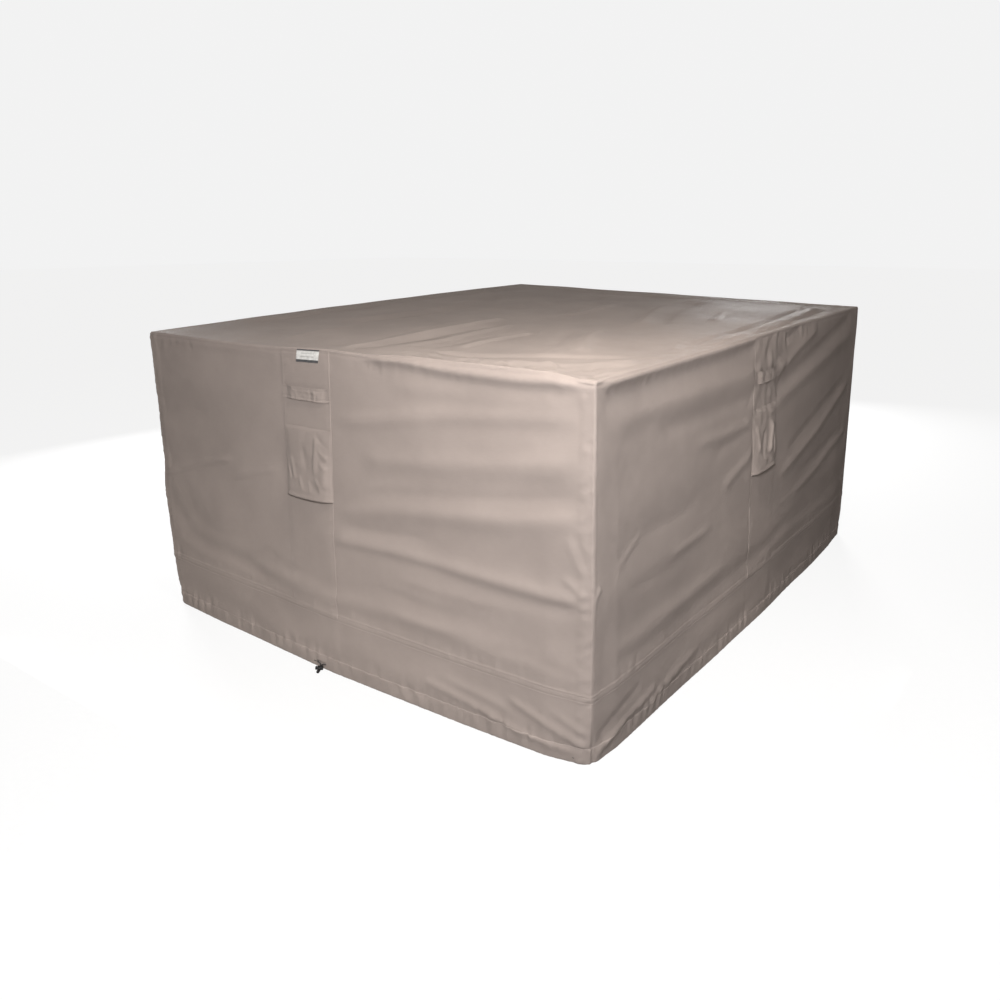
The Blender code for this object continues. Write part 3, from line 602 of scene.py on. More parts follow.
def fold_heights(points, strokes):
    """Height of all strokes over a set of points, in metres."""
    total = np.zeros(len(points))
    for height, left_width, right_width, taper, *knots in strokes:
        line = smooth_line(knots, 5)
        reach = 3 * max(left_width, right_width) / 1000
        near = np.nonzero(((points > line.min(0) - reach) & (points < line.max(0) + reach)).all(1))[0]
        start, step = line[:-1], np.diff(line, axis=0)
        length = np.linalg.norm(step, axis=1)
        run = np.concatenate([[0], np.cumsum(length)])
        rel = points[near, None] - start[None]
        t = np.clip((rel * step).sum(-1) / length ** 2, 0, 1)
        away = rel - t[..., None] * step
        distance = np.linalg.norm(away, axis=-1)
        nearest = distance.argmin(1)
        pick = (np.arange(len(near)), nearest)
        turn = step[nearest, 0] * away[pick][:, 1] - step[nearest, 1] * away[pick][:, 0]
        width = np.where(turn > 0, left_width, right_width) / 1000
        share = (run[nearest] + t[pick] * length[nearest]) / run[-1]
        ends = ease(share / taper) * ease((1 - share) / taper)
        total[near] += height / 1000 * ends * np.exp(-(distance[pick] / width) ** 2)
    return total


def wavy(points, seed, scale, count=24):
    """Soft noise: a fixed sum of plane waves of about one wavelength. Values of about -1 to 1."""
    numbers = np.random.default_rng(seed)
    angle = numbers.uniform(0, 2 * np.pi, count)
    pace = 2 * np.pi / scale * numbers.uniform(0.6, 1.7, count)
    phase = numbers.uniform(0, 2 * np.pi, count)
    waves = np.sin(points[:, 0, None] * np.cos(angle) * pace + points[:, 1, None] * np.sin(angle) * pace
                   + phase)
    return waves.sum(1) / math.sqrt(count)


def shaped_shell():
    """The shell before it settles: edges rounded, walls leaning out, broad waves."""
    x, y, z = FLAT.T
    back, left = (y + HALF_Y) / (2 * HALF_Y), (HALF_X - x) / (2 * HALF_X)
    top = HEIGHT + back * (RISE_LEFT * left + RISE_RIGHT * (1 - left))
    top += 0.006 * np.sin(np.pi * back) * left
    top += (0.005 * hill(x, 0.02, 0.16) - 0.004 * hill(x, -0.38, 0.20)) * hill(y, -HALF_Y, 0.12)
    top += 0.010 * ease((x - 0.10) / 0.20) * ease((0.80 - x) / 0.12) * hill(y, -HALF_Y, 0.045)
    over = np.clip((z - STRETCH_FROM) / (HEIGHT - STRETCH_FROM), 0, 1)
    height = np.where(z > STRETCH_FROM, STRETCH_FROM + over * (top - STRETCH_FROM), z)

    upright_radius = 0.004 + 0.022 * ease(1 - z / 0.12)
    top_radius = 0.012
    core = np.stack([np.clip(x, upright_radius - HALF_X, HALF_X - upright_radius),
                     np.clip(y, upright_radius - HALF_Y, HALF_Y - upright_radius),
                     np.minimum(height, top - top_radius)], 1)
    radii = np.stack([upright_radius, upright_radius, np.full(len(x), top_radius)], 1)
    reach = (np.stack([x, y, height], 1) - core) / radii
    reach[:, 2] = np.maximum(reach[:, 2], 0)
    normal = reach / np.maximum(np.linalg.norm(reach, axis=1), 1e-9)[:, None]
    place = core + radii * normal

    for side, (out_x, out_y) in OUTWARD.items():
        along = ALONG[side]
        on_side = np.zeros(len(x), bool)
        on_side[GRIDS[side].ravel()] = True
        facing = (normal[:, 0] * out_x + normal[:, 1] * out_y) ** 2
        foot = foot_out(side, along)
        lean = foot * (1 - np.clip(height / top, 0, 1)) * on_side
        half = HALF_LENGTH[side]
        edge = half - np.abs(along)
        plane = np.stack([along, z], 1)
        waves = 0.0018 * wavy(plane * (0.5, 1.5), 3 + SIDES[side], 0.34)
        waves *= (0.30 + 0.70 * ease(edge / 0.05)) * (0.25 + 0.75 * ease((HEIGHT - z) / 0.03))
        move = (lean + waves * facing) * on_side
        place[:, 0] += out_x * move
        place[:, 1] += out_y * move
    place[:, 0] -= left_edge_out(height) * hill(np.hypot(x + HALF_X, y + HALF_Y), 0, 0.09)

    upward = normal[:, 2] ** 2
    plan = np.stack([x, y], 1)
    rim = np.minimum(HALF_X - np.abs(x), HALF_Y - np.abs(y))
    waves = 0.0025 * wavy(plan, 11, 0.38)
    on_top = np.zeros(len(x), bool)
    on_top[GRIDS["top"].ravel()] = True
    place[:, 2] += waves * (0.25 + 0.75 * ease(rim / 0.04)) * upward * on_top
    return place


def quads_of(grid):
    return np.stack([grid[:-1, :-1], grid[1:, :-1], grid[1:, 1:], grid[:-1, 1:]], -1).reshape(-1, 4)


CLOTH_STEPS = 15
CLOTH_REACH = 0.004       # the most that the simulation may move a point


def settled(place):
    """The shell after Blender's cloth has settled it a little, held near its shape."""
    faces = np.concatenate([quads_of(grid) for grid in GRIDS.values()])
    shell = link("shell", mesh_of("shell", place, faces))
    hold = shell.vertex_groups.new(name="hold")
    x, y, z = FLAT.T
    rim = np.minimum(HALF_X - np.abs(x), HALF_Y - np.abs(y))
    on_top = z >= HEIGHT - TINY
    from_edge = np.where(on_top, rim, np.minimum(
        np.where(np.abs(x) > HALF_X - TINY, HALF_Y - np.abs(y), HALF_X - np.abs(x)), HEIGHT - z))
    grip = 0.18 + 0.8 * ease(1 - from_edge / 0.02) + 0.5 * hill(z, BAND_TO, 0.02) + 1.0 * ease(1 - z / 0.05)
    grip = np.round(np.clip(grip, 0, 1), 2)
    for level in np.unique(grip):
        chosen = np.nonzero(grip == level)[0]
        hold.add([int(i) for i in chosen], float(level), "REPLACE")
    cloth = shell.modifiers.new("cloth", "CLOTH")
    setting = cloth.settings
    setting.quality = 4
    setting.mass = 0.25
    setting.tension_stiffness = setting.compression_stiffness = 25
    setting.shear_stiffness = 10
    setting.bending_stiffness = 5.0
    setting.tension_damping = setting.compression_damping = 10
    setting.air_damping = 3
    setting.shrink_min = -0.0002
    setting.vertex_group_mass = "hold"
    setting.pin_stiffness = 3.0
    setting.effector_weights.gravity = 0.3
    cloth.collision_settings.use_collision = False
    for number in range(1, CLOTH_STEPS + 1):
        bpy.context.scene.frame_set(number)
    graph = bpy.context.evaluated_depsgraph_get()
    found = shell.evaluated_get(graph).data
    moved = np.zeros(len(place) * 3)
    found.vertices.foreach_get("co", moved)
    bpy.context.scene.frame_set(1)
    bpy.data.objects.remove(shell)
    change = moved.reshape(-1, 3) - place
    length = np.linalg.norm(change, axis=1)
    change *= (CLOTH_REACH / np.maximum(length, CLOTH_REACH))[:, None]
    result = place + change
    result[:, 2] = np.maximum(result[:, 2], FLAT[:, 2].min())
    return result


place = shaped_shell()
place = settled(place)


# ---------------------------------------------------------------- finer grids, with the sewn seams
def finer(values, axis):
    """Doubles a grid along one axis with a four-point curve through the given rows."""
    values = np.moveaxis(values, axis, 0)
    before = np.concatenate([2 * values[:1] - values[1:2], values[:-2]])
    after = np.concatenate([values[2:], 2 * values[-1:] - values[-2:-1]])
    middle = 0.5625 * (values[:-1] + values[1:]) - 0.0625 * (before + after)
    grown = np.empty((2 * len(values) - 1, *values.shape[1:]))
    grown[0::2], grown[1::2] = values, middle
    return np.moveaxis(grown, 0, axis)


def normals_of(grid):
    across = np.gradient(grid, axis=0)
    up = np.gradient(grid, axis=1)
    normal = np.cross(across, up)
    return normal / np.maximum(np.linalg.norm(normal, axis=2), 1e-12)[..., None]


class Wall:
    """One side of the settled shell: rows of cloth along u and up z, with its outward normals."""

    def __init__(self, side):
        u = {"front": LINES_X, "right": LINES_Y, "back": -LINES_X[::-1], "left": -LINES_Y[::-1],
             "top": LINES_X}[side]
        z = LINES_Y if side == "top" else LINES_Z
        self.place = finer(finer(place[GRIDS[side]], 0), 1)
        self.u, self.z = finer(u, 0), finer(z, 0)
        self.normal = normals_of(self.place)
        uu, zz = np.meshgrid(self.u, self.z, indexing="ij")
        edge = abs(self.u[0]) - np.abs(uu)
        plane = np.stack([uu.ravel(), zz.ravel()], 1)
        ripple = wavy(plane * (1, 0.15), 21 + len(side), 0.030).reshape(uu.shape)
        fine = wavy(plane, 31 + len(side), 0.045).reshape(uu.shape)
        pucker = wavy(plane * (1, 0.35), 29 + len(side), 0.021).reshape(uu.shape)
        ripple_up = wavy(plane * (0.5, 1), 27, 0.026).reshape(uu.shape)
        folds = 0.8 * fold_heights(plane, FOLDS[side]).reshape(uu.shape)
        if side == "top":
            rim = np.minimum(edge, HALF_Y - np.abs(zz))
            out = 0.0002 * fine * ease(rim / 0.05) - 0.0009 * hill(rim, 0.009, 0.0030)
            out += folds * ease(rim / 0.02)
            crumpled = hill(zz, -0.885, 0.050) * ease((uu - 0.12) / 0.10) + 0.7 * hill(uu, 0.755, 0.045)
            out += 0.0020 * wavy(plane * (1, 0.7), 77, 0.055).reshape(uu.shape) * crumpled * ease(rim / 0.012)
        else:
            out = 0.00012 * fine
            out += 0.0014 * wavy(plane, 78, 0.070).reshape(uu.shape) * hill(uu, 0.02, 0.13) \
                * ease((zz - 0.60) / 0.12) * ease((HEIGHT - zz) / 0.02) * (side in ("right", "left"))
            if side in ("front", "back"):        # seam allowance, pressed flat beside the upright edges
                out += (0.0014 + 0.0007 * ripple_up) * ease((0.037 - edge) / 0.004)
            out += folds * (0.25 + 0.75 * ease((np.abs(uu - STRIP_AT[side]) - STRIP_HALF + 0.02) / 0.05)) \
                * ease(edge / 0.014) * ease((HEIGHT - zz) / 0.012) * (0.2 + 0.8 * ease(zz / 0.03))
            out += 0.0008 * ripple * hill(zz, 0.185, 0.020)              # puckers over the band's seam
            out += 0.0016 * ripple * hill(zz, 0.046, 0.020)              # and over the hem's
            out += 0.0009 * pucker * hill(zz, 0.024, 0.028)
            out += 0.0006 * ripple * hill(zz, 0.874, 0.018)
            out -= 0.0005 * hill(edge, 0.010, 0.0035)
            out -= 0.0009 * hill(HEIGHT - zz, 0.010, 0.0030)
            out *= ease(np.minimum(edge, HEIGHT - zz) / 0.004)
        self.place = self.place + out[..., None] * self.normal
        self.normal = normals_of(self.place)
        self.ripple = ripple

    def at(self, u, z, out=0.0):
        """Points over the wall, at places along and up it."""
        u, z = np.broadcast_arrays(np.asarray(u, float), np.asarray(z, float))
        column = np.clip(np.searchsorted(self.u, u) - 1, 0, len(self.u) - 2)
        row = np.clip(np.searchsorted(self.z, z) - 1, 0, len(self.z) - 2)
        s = ((u - self.u[column]) / (self.u[column + 1] - self.u[column]))[..., None]
        t = ((z - self.z[row]) / (self.z[row + 1] - self.z[row]))[..., None]

        def mixed(grid):
            return ((1 - s) * (1 - t) * grid[column, row] + s * (1 - t) * grid[column + 1, row]
                    + (1 - s) * t * grid[column, row + 1] + s * t * grid[column + 1, row + 1])
        normal = mixed(self.normal)
        normal /= np.linalg.norm(normal, axis=-1)[..., None]
        return mixed(self.place) + np.asarray(out)[..., None] * normal, normal


def grid_mesh(name, points, uv, material, gone=None):
    """A sheet from a grid of points, without the cells marked gone."""
    count_u, count_v = points.shape[:2]
    numbers = np.arange(count_u * count_v).reshape(count_u, count_v)
    faces = quads_of(numbers)
    if gone is not None:
        faces = faces[~gone.ravel()]
    used = np.unique(faces)
    renumber = np.full(count_u * count_v, -1)
    renumber[used] = np.arange(len(used))
    data = mesh_of(name, points.reshape(-1, 3)[used], renumber[faces], uv.reshape(-1, 2)[used])
    return link(name, data, material)


def cell_middles(lines):
    return (lines[:-1] + lines[1:]) / 2


def cells_in(u, z, u_low, u_high, z_low, z_high):
    uu, zz = np.meshgrid(cell_middles(u), cell_middles(z), indexing="ij")
    return (uu > u_low) & (uu < u_high) & (zz > z_low) & (zz < z_high)


def ridden(piece, node):
    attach(piece, "root")
    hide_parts(node)
    return piece


class Stitches:
    """Rows of short stitches, each a slim spindle that dips into the cloth at both ends."""

    SPINDLE = np.array([(0, 2, 1), (0, 3, 2), (0, 4, 3), (0, 1, 4),
                        (5, 1, 2), (5, 2, 3), (5, 3, 4), (5, 4, 1)])

    def __init__(self):
        self.verts, self.faces, self.count = [], [], 0

    def row(self, line, normals, pitch=0.0042, length=0.0030, radius=0.00032, lift=0.0001):
        line, normals = np.asarray(line), np.asarray(normals)
        run = np.concatenate([[0], np.cumsum(np.linalg.norm(np.diff(line, axis=0), axis=1))])
        middles = np.arange(pitch / 2, run[-1] - pitch / 3, pitch)
        if len(middles) == 0:
            return

        def along(distance):
            return np.stack([np.interp(distance, run, line[:, axis]) for axis in range(3)], 1)
        up = np.stack([np.interp(middles, run, normals[:, axis]) for axis in range(3)], 1)
        up /= np.linalg.norm(up, axis=1)[:, None]
        ahead = along(middles + length / 2) - along(middles - length / 2)
        ahead /= np.linalg.norm(ahead, axis=1)[:, None]
        aside = np.cross(up, ahead)
        centre = along(middles) + lift * up
        spindle = np.stack([
            centre - ahead * length / 2 - up * radius, centre + aside * radius, centre + up * radius,
            centre - aside * radius, centre - up * radius, centre + ahead * length / 2 - up * radius], 1)
        first = self.count + 6 * np.arange(len(middles))
        self.verts.append(spindle.reshape(-1, 3))
        self.faces.append((first[:, None, None] + self.SPINDLE).reshape(-1, 3))
        self.count += 6 * len(middles)

    def piece(self, name):
        data = mesh_of(name, np.concatenate(self.verts), np.concatenate(self.faces), smooth=False)
        made = link(name, data, THREAD)
        return made


WALLS = {side: Wall(side) for side in SIDES}
ROOF = Wall("top")

roof_uv = np.stack(np.meshgrid(ROOF.u, ROOF.z, indexing="ij"), -1)
roof = ridden(grid_mesh("cover_top", ROOF.place, roof_uv, CLOTH), "top_panel")
roof_seams = Stitches()
for side in SIDES:
    reach = np.linspace(-1, 1, 240)
    half = HALF_LENGTH[side] - STITCHED
    turn = math.radians(SIDES[side])
    out = (HALF_Y if side in ("front", "back") else HALF_X) - STITCHED
    x = math.cos(turn) * reach * half + math.sin(turn) * out
    y = math.sin(turn) * reach * half - math.cos(turn) * out
    roof_seams.row(*ROOF.at(x, y, 0.0001))
roof_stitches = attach(roof_seams.piece("top_stitches"), "root")

for side, wall in WALLS.items():
    half, shift = HALF_LENGTH[side], STRIP_AT[side]
    uu, zz = np.meshgrid(wall.u, wall.z, indexing="ij")
    uv = np.stack([uu, zz], -1)
    window = (shift - WINDOW_HALF, shift + WINDOW_HALF, WINDOW_LOW, WINDOW_HIGH)

    # Wall panel. Its lower edge is felled over the band.
    rows = wall.z >= SEAM_LOW - TINY
    lap = 0.0012 * ease((SEAM_HIGH + 0.004 - zz) / 0.004)
    lap -= 0.0008 * (hill(zz, SEAM_LOW + 0.0025, 0.0016) + hill(zz, SEAM_HIGH - 0.0025, 0.0016))
    points = wall.place + lap[..., None] * wall.normal
    panel = ridden(grid_mesh(
        f"{side}_wall", points[:, rows], uv[:, rows], CLOTH,
        gone=cells_in(wall.u, wall.z[rows], *window)), f"{side}_panel")

    # Bottom band, from inside the hem up to behind the panel's edge.
    rows = (wall.z >= BAND_FROM - TINY) & (wall.z <= BAND_TO + TINY)
    tuck = -0.0006 * ease((0.0425 - zz) / 0.004)
    band = ridden(grid_mesh(f"{side}_bottom_band", (wall.place + tuck[..., None] * wall.normal)[:, rows],
                            uv[:, rows], CLOTH), f"{side}_band")

    # Hem casing: a flat tunnel, closed all round.
    rows = wall.z <= HEM_TOP + TINY
    outer_face = wall.place[:, rows]
    share = wall.z[rows] / HEM_TOP
    swell = np.sqrt(np.clip(1 - (2 * share - 1) ** 4, 0, 1))
    puff = (0.0012 * swell)[None, :] + 0.0008 * wall.ripple[:, rows] * swell[None, :]
    upright = np.concatenate([outer_face[:, :1], outer_face[:, :1] + (0, 0, 1.0)], axis=1)
    inward = -normals_of(upright)[:, :1]
    front_rows = outer_face - puff[..., None] * inward
    back_rows = outer_face + ((HEM_THICK - 0.0008) * swell)[None, :, None] * inward
    ring = np.concatenate([front_rows, back_rows[:, ::-1][:, 1:-1], front_rows[:, :1]], axis=1)
    ring_v = np.concatenate([wall.z[rows], HEM_TOP + 0.002 + np.arange(back_rows.shape[1] - 1) * 0.005])
    ring_uv = np.stack(np.meshgrid(wall.u, ring_v, indexing="ij"), -1)
    ring[..., 2] = np.maximum(ring[..., 2], 0.0)
    slit = None
    if side == "front":
        slit = cells_in(wall.u, np.concatenate([wall.z[rows], np.full(back_rows.shape[1] - 1, 9.0)]),
                        SLIT - SLIT_HALF, SLIT + SLIT_HALF, *SLIT_HEIGHTS)
    casing = ridden(grid_mesh(f"{side}_hem", ring, ring_uv, CLOTH, gone=slit), f"{side}_hem_casing")

    # Reinforcing strip, its edges folded under.
    columns = (wall.u >= shift - STRIP_HALF - TINY) & (wall.u <= shift + STRIP_HALF + TINY)
    rows = (wall.z >= BAND_TO - TINY) & (wall.z <= HEIGHT - 0.003)
    inside = STRIP_HALF - np.abs(uu - shift)
    lift = 0.0012 + 0.0014 * ease(inside / 0.002) - 0.0012 * hill(inside, 0.0042, 0.0014)
    lift += 0.0006 * ease((SEAM_HIGH + 0.004 - zz) / 0.004)
    slack = wavy(np.stack([uu.ravel() * 0.2, zz.ravel()], 1), 41 + SIDES[side], 0.028).reshape(uu.shape)
    lift += 0.0005 * slack * hill(inside, 0.012, 0.014)
    strip_points = wall.place + lift[..., None] * wall.normal
    strip = ridden(grid_mesh(
        f"{side}_wall_strip", strip_points[columns][:, rows], uv[columns][:, rows], CLOTH,
        gone=cells_in(wall.u[columns], wall.z[rows], *window)), f"{side}_strip")

    # Vent net behind the window.
    net_u = np.linspace(shift - WINDOW_HALF - NET_MARGIN, shift + WINDOW_HALF + NET_MARGIN, 30)
    net_z = np.linspace(WINDOW_LOW - NET_MARGIN, WINDOW_HIGH + NET_MARGIN, 30)
    net_uu, net_zz = np.meshgrid(net_u, net_z, indexing="ij")
    net_points, _ = wall.at(net_uu, net_zz, -0.0022)
    net = ridden(grid_mesh(f"{side}_net", net_points, np.stack([net_uu, net_zz], -1), NET),
                 f"{side}_vent_net")

    # Stitching on the wall.
    sewn = Stitches()
    whole = np.linspace(-half + 0.006, half - 0.006, 300)
    for up, out in ((SEAM_LOW + 0.0025, 0.0013), (SEAM_HIGH - 0.0025, 0.0013), (HEM_TOP + 0.0035, 0.0003),
                    (HEIGHT - STITCHED, 0.0002)):
        sewn.row(*wall.at(whole, up, out))
    height = np.linspace(HEM_TOP + 0.004, HEIGHT - 0.012, 200)
    for edge in (-half + STITCHED, half - STITCHED):
        sewn.row(*wall.at(edge, height, 0.0002))
    height = np.linspace(SEAM_HIGH, HEIGHT - 0.006, 200)
    for edge in (-STRIP_HALF + 0.0042, STRIP_HALF - 0.0042):
        sewn.row(*wall.at(shift + edge, height, 0.0017))
    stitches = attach(sewn.piece(f"{side}_wall_stitches"), "root")


# ---------------------------------------------------------------- hoods, straps and the label
STRIP_OUT = 0.0024        # outer face of the strip over the wall
HOOD_FOLDS = (            # mm over the hood, along and up from its bottom middle
    (3.2, 12, 7, .2, (.036, .185), (.034, .130), (.029, .060)),
    (1.6, 5, 5, .3, (.042, .150), (.062, .128), (.090, .118)),
    (1.6, 5, 5, .3, (.044, .112), (.066, .094), (.090, .090)),
    (-1.2, 6, 6, .3, (.050, .175), (.060, .160), (.085, .150)),
    (3.0, 6, 6, .2, (-.090, .105), (-.079, .072), (-.068, .040)),
    (2.4, 6, 6, .2, (-.066, .110), (-.058, .080), (-.050, .046)),
    (2.0, 6, 5, .3, (-.032, .062), (-.023, .036), (-.017, .016)),
    (1.8, 5, 5, .3, (.004, .054), (.012, .034), (.015, .016)),
    (2.2, 8, 6, .3, (.030, .066), (.048, .042), (.060, .018)),
    (3.0, 22, 22, .2, (.076, .110), (.070, .070), (.072, .030)),
    (-1.5, 10, 10, .3, (-.020, .150), (-.010, .110), (-.004, .070)))
SIDE_HOOD_FOLDS = (       # the same, on the right and left walls
    (8, 16, 10, .2, (.050, .150), (.036, .095), (.020, .040)),
    (5, 8, 8, .2, (.062, .120), (.072, .070), (.080, .025)),
    (-4, 10, 10, .2, (-.010, .130), (-.018, .080), (-.034, .030)),
    (3, 8, 8, .3, (-.056, .060), (-.020, .038), (.020, .030)),
    (4, 10, 8, .2, (-.080, .150), (-.060, .110), (-.052, .060)),
    (2, 6, 6, .3, (.020, .176), (.050, .168), (.080, .172)))
STRAP_FOLDS = (
    (1.2, 4, 4, .2, (.036, -.018), (.040, .000), (.036, .018)),
    (-1.4, 5, 5, .2, (.022, -.018), (.026, .000), (.020, .018)),
    (1.0, 4, 4, .2, (-.030, -.018), (-.036, .000), (-.040, .018)),
    (1.2, 5, 5, .2, (.066, -.014), (.070, .004), (.076, .016)),
    (1.0, 6, 6, .2, (-.070, .006), (.000, .009), (.060, .004)))


JOINTS = {joint["name"]: joint["axis"] for joint in frame["joints"]}


def outward(side):
    """The way that a strap is pulled, square to its leaning wall."""
    turn = math.radians(SIDES[side])
    tilt = math.atan2(abs(JOINTS[f"{side}_strap_pull"][2]), 1)
    return Vector((math.sin(turn) * math.cos(tilt), -math.cos(turn) * math.cos(tilt), math.sin(tilt)))


def blended(piece, stitches, node):
    """Bakes the placing of a sewn piece and its stitches into their meshes, and hides the CAD part."""
    for part in (piece, stitches):
        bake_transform(part)
    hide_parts(node)


for number, (side, wall) in enumerate(WALLS.items()):
    shift = STRIP_AT[side]
    mirror = 1 if side in ("front", "right") else -1

    # Hood: a flap sewn along its top and sides, with a double hem that is turned in at the bottom.
    a = np.linspace(-1, 1, 49)
    up = np.concatenate([np.linspace(HOOD_HIGH, HOOD_LOW, 46), HOOD_LOW + np.array([0.0015, 0.006, 0.012])])
    aa, hh = np.meshgrid(a, up, indexing="ij")
    turned = np.broadcast_to(np.arange(len(up)) >= 46, aa.shape)
    b = (HOOD_HIGH - hh) / (HOOD_HIGH - HOOD_LOW)
    middle = (1 - np.abs(aa) ** 5) * ease(b / 0.06)
    sides = 1 - np.abs(aa)
    local = np.stack([mirror * aa.ravel() * HOOD_HALF, hh.ravel() - HOOD_LOW], 1)
    folds = HOOD_FOLDS if side in ("front", "back") else SIDE_HOOD_FOLDS
    crumple = fold_heights(local, folds).reshape(aa.shape)
    crumple += 0.0005 * wavy(local, 51 + number, 0.060).reshape(aa.shape)
    out = STRIP_OUT + 0.0006 + middle * (0.0030 + 0.0095 * b)
    out += crumple * ease(sides / 0.25) * ease(b / 0.12)
    out += 0.0006 * hill(sides * HOOD_HALF, 0.004, 0.003) + 0.0006 * hill(HOOD_HIGH - hh, 0.004, 0.003)
    out += 0.0007 * hill(hh - HOOD_LOW, 0.0, 0.011) - 0.0008 * hill(hh - HOOD_LOW, 0.0125, 0.0022)
    out = np.maximum(out, STRIP_OUT + 0.0004) - 0.0016 * turned
    sag = -0.0025 * (1 - aa ** 2) * b ** 3 + 0.002 * mirror * aa * b ** 3
    points, normal = wall.at(shift + aa * HOOD_HALF, hh, out)
    points[..., 2] += sag
    run = np.concatenate([[0], np.cumsum(np.abs(np.diff(up)))])
    uv = np.stack([aa * HOOD_HALF, np.broadcast_to(-run, aa.shape)], -1)
    hood = grid_mesh(f"{side}_hood", points, uv, CLOTH)
    sewn = Stitches()
    sewn.row(points[2:-2, 1], normal[2:-2, 1], lift=0.0003)
    sewn.row(points[1, 1:46], normal[1, 1:46], lift=0.0003)
    sewn.row(points[-2, 1:46], normal[-2, 1:46], lift=0.0003)
    sewn.row(points[1:-1, 43], normal[1:-1, 43], lift=0.0002)
    hood_stitches = sewn.piece(f"{side}_hood_stitches")
    away = outward(side)
    foot = Vector(wall.at(shift, HOOD_LOW + 0.05)[0]) + STRIP_OUT * away
    blended(hood, hood_stitches, f"{side}_vent_hood")

    # Grab strap, sewn at both ends, with a turned edge along both sides.
    a = np.linspace(-1, 1, 65)
    c = np.linspace(-1, 1, 13)
    aa, cc = np.meshgrid(a, c, indexing="ij")
    raised = ease(((1 - np.abs(aa)) * HOOD_HALF - 0.010) / 0.035)
    local = np.stack([mirror * aa.ravel() * HOOD_HALF, cc.ravel() * STRAP_WIDTH / 2], 1)
    crumple = fold_heights(local, STRAP_FOLDS).reshape(aa.shape)
    crumple += 0.0003 * wavy(local, 61 + number, 0.030).reshape(aa.shape)
    out = STRIP_OUT + 0.0012 + 0.0056 * raised + crumple * (0.25 + 0.75 * raised)
    out += 0.0010 * hill(np.abs(cc), 0.88, 0.10) - 0.0007 * hill(np.abs(cc), 0.66, 0.09)
    out = np.maximum(out, STRIP_OUT + 0.0005)
    squeeze = 1 - 0.04 * raised * (1 + 0.5 * np.sin(9 * aa + number))
    points, normal = wall.at(shift + aa * HOOD_HALF, STRAP_AT + cc * STRAP_WIDTH / 2 * squeeze, out)
    points[..., 2] += -0.0015 * raised
    uv = np.stack([aa * HOOD_HALF, cc * STRAP_WIDTH / 2], -1)
    strap = grid_mesh(f"{side}_strap", points, uv, CLOTH)
    sewn = Stitches()
    for row in (2, 10):
        sewn.row(points[1:-1, row], normal[1:-1, row], lift=0.0003)
    for column in (1, 8, 56, 63):
        sewn.row(points[column, 2:11], normal[column, 2:11], lift=0.0003)
    strap_stitches = sewn.piece(f"{side}_strap_stitches")
    foot = Vector(wall.at(shift, STRAP_AT)[0]) + STRIP_OUT * away
    blended(strap, strap_stitches, f"{side}_grab_strap")

LABEL_AT, LABEL_HALF = (-0.078, 0.8812), (0.044, 0.0180)
aa, cc = np.meshgrid(np.linspace(-1, 1, 41), np.linspace(-1, 1, 21), indexing="ij")
skew = 0.004                              # its top edge lies to the right of its bottom edge
u = LABEL_AT[0] + aa * LABEL_HALF[0] + cc * skew
z = LABEL_AT[1] + cc * LABEL_HALF[1]
rim = np.minimum((1 - np.abs(aa)) * LABEL_HALF[0], (1 - np.abs(cc)) * LABEL_HALF[1])
out = STRIP_OUT + 0.0003 + 0.0008 * ease(rim / 0.0015) - 0.0003 * hill(rim, 0.003, 0.0012)
points, normal = WALLS["front"].at(u, z, out)
label = ridden(grid_mesh("woven_label", points, np.stack([(aa + 1) / 2, (cc + 1) / 2], -1), LABEL),
               "sewn_label")
sewn = Stitches()
within = slice(1, -1)
for line in ((within, 1), (within, -2), (1, within), (-2, within)):
    sewn.row(points[line], normal[line], lift=0.0002, pitch=0.003, length=0.0021, radius=0.0002)
label_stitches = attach(sewn.piece("label_stitches"), "root")


# ---------------------------------------------------------------- the cord in the hem, and its lock
hem_line = []
for side, wall in WALLS.items():
    inner = np.linspace(-HALF_LENGTH[side] + 0.03, HALF_LENGTH[side] - 0.03, 41)
    points, _ = wall.at(inner, CORD_HEIGHT, -HEM_THICK / 2)
    hem_line += [tuple(point) for point in points]
start = min(range(41), key=lambda i: abs(hem_line[i][0] - (SLIT + 0.05)))
stop = min(range(41), key=lambda i: abs(hem_line[i][0] - (SLIT - 0.05)))
ring = [tails["right"][1][0]] + hem_line[start:] + hem_line[:stop + 1] + [tails["left"][1][0]]
hidden = tube("drawcord_in_hem", smooth_line(ring, 3), CORD / 2, BRAID, sides=8)
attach(hidden, "root")
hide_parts("drawcord")

for node, material in (("cord_lock_body", PLASTIC), ("cord_lock_plunger", PLASTIC),
                       ("cord_end", PLASTIC), ("cord_lock_spring", STEEL)):
    materials = frame["nodes"][node].data.materials
    materials.clear()
    materials.append(material)


# ---------------------------------------------------------------- floor and light
def soft_light(name, place, target, size, power, colour=(1, 1, 1), depth=None):
    """An area light. With a depth it is a rectangle, size wide and depth deep, else a disk."""
    light = bpy.data.lights.new(name, "AREA")
    light.shape = "RECTANGLE" if depth else "DISK"
    light.size = size
    light.size_y = depth or size
    light.energy = power
    light.color = colour
    lamp = bpy.data.objects.new(name, light)
    lamp.location = place
    lamp.rotation_euler = (Vector(target) - Vector(place)).to_track_quat("-Z", "Y").to_euler()
    lamp.visible_camera = False
    bpy.context.scene.collection.objects.link(lamp)


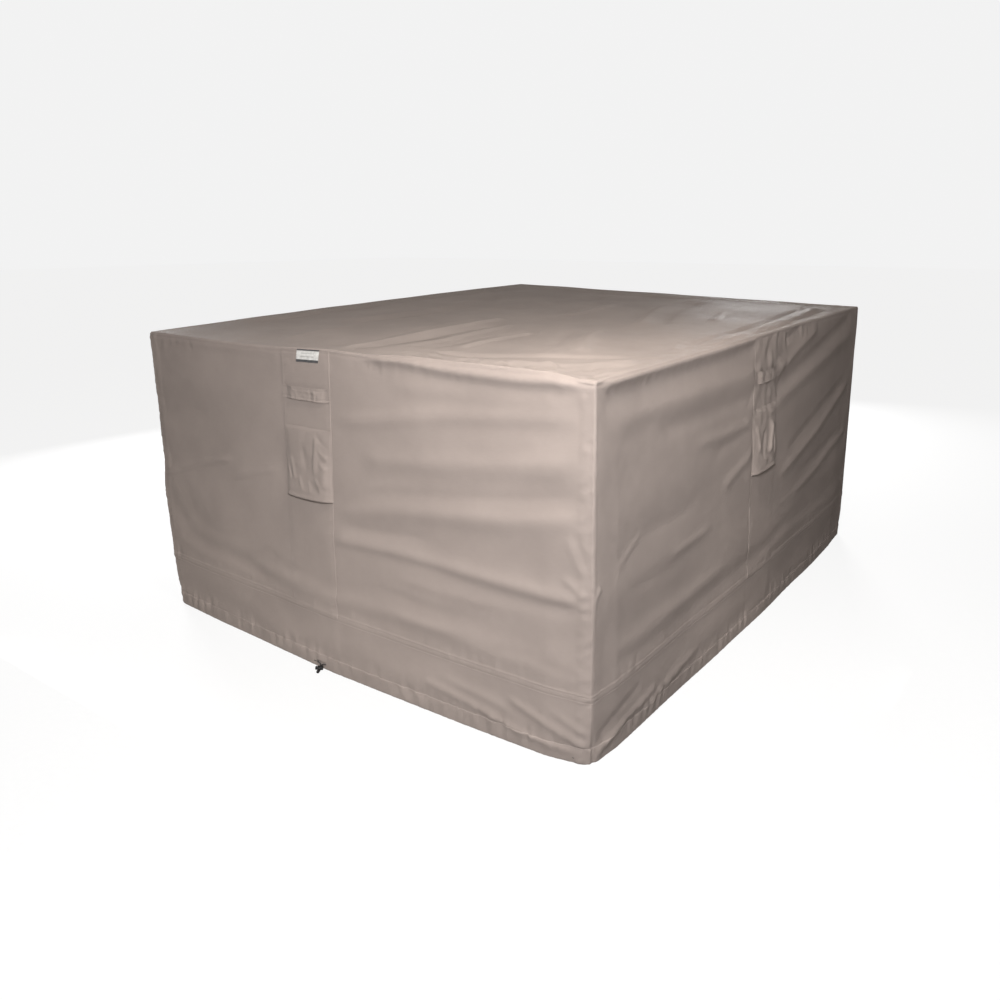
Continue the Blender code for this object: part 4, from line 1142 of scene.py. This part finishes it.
FLOOR_HALF, FLOOR_DOWN = 30, -0.0005
floor_data = mesh_of("floor", [(x * FLOOR_HALF, y * FLOOR_HALF, FLOOR_DOWN)
                               for x, y in ((-1, -1), (1, -1), (1, 1), (-1, 1))],
                     [(0, 1, 2, 3)], smooth=False)
paper = Nodes("floor_paper")
grain = paper.noise(paper.add("ShaderNodeTexCoord").outputs["Object"], 60.0)
floor_look = paper.finish(Base_Color=paper.ramp(grain, 0.3, 0.7, (0.11, 0.11, 0.11), (0.13, 0.13, 0.13)),
                          Roughness=0.9, Emission_Color=(1, 1, 1, 1), Emission_Strength=0.86)
floor = link("floor", floor_data, floor_look)
floor.visible_diffuse = False             # the pale floor throws no light back on the cover
floor.visible_glossy = False

soft_light("key", (1.60, -2.55, 1.55), (0.4, -0.6, 0.5), 0.5, 64)
soft_light("top_light", (0.90, -1.20, 1.72), (0.45, -0.5, 0.9), 0.35, 12, (1.0, 0.94, 0.86))
soft_light("overhead", (0.0, 0.2, 4.5), (0, 0, 0), 1.0, 10, (1.0, 0.95, 0.90))
soft_light("rim_light", (0.95, -0.35, 1.50), (0.70, -0.35, 0.9), 0.3, 1.1, (1.0, 0.93, 0.86))
soft_light("side", (1.90, -0.60, 1.00), (0.84, -0.1, 0.6), 0.4, 2.6)
soft_light("back_light", (-0.60, 3.60, 1.05), (0.0, 0.95, 0.6), 0.9, 62)      # level with the top, so that
soft_light("left_light", (-3.20, 0.20, 1.05), (-0.84, 0.0, 0.6), 0.9, 50)     # the top gets none of it
soft_light("front_low", (-0.25, -1.50, 0.04), (-0.25, -0.95, 0.35), 1.6, 2.0, (1.0, 0.96, 0.90), 0.25)
soft_light("side_low", (1.35, -0.20, 0.04), (0.84, -0.20, 0.35), 0.25, 0.9, (1.0, 0.96, 0.90), 1.4)
world = bpy.data.worlds.new("studio")
bpy.context.scene.world = world
world.use_nodes = True
backdrop = world.node_tree.nodes["Background"]
seen = world.node_tree.nodes.new("ShaderNodeLightPath")
LIGHTS_THE_COVER, SEEN_BY_THE_CAMERA = (0.100, 0.090, 0.082, 1), (0.89, 0.89, 0.89, 1)
world.node_tree.links.new(
    mixed_colour(world.node_tree, seen.outputs["Is Camera Ray"], LIGHTS_THE_COVER, SEEN_BY_THE_CAMERA),
    backdrop.inputs["Color"])
bpy.context.scene.view_settings.view_transform = "Standard"
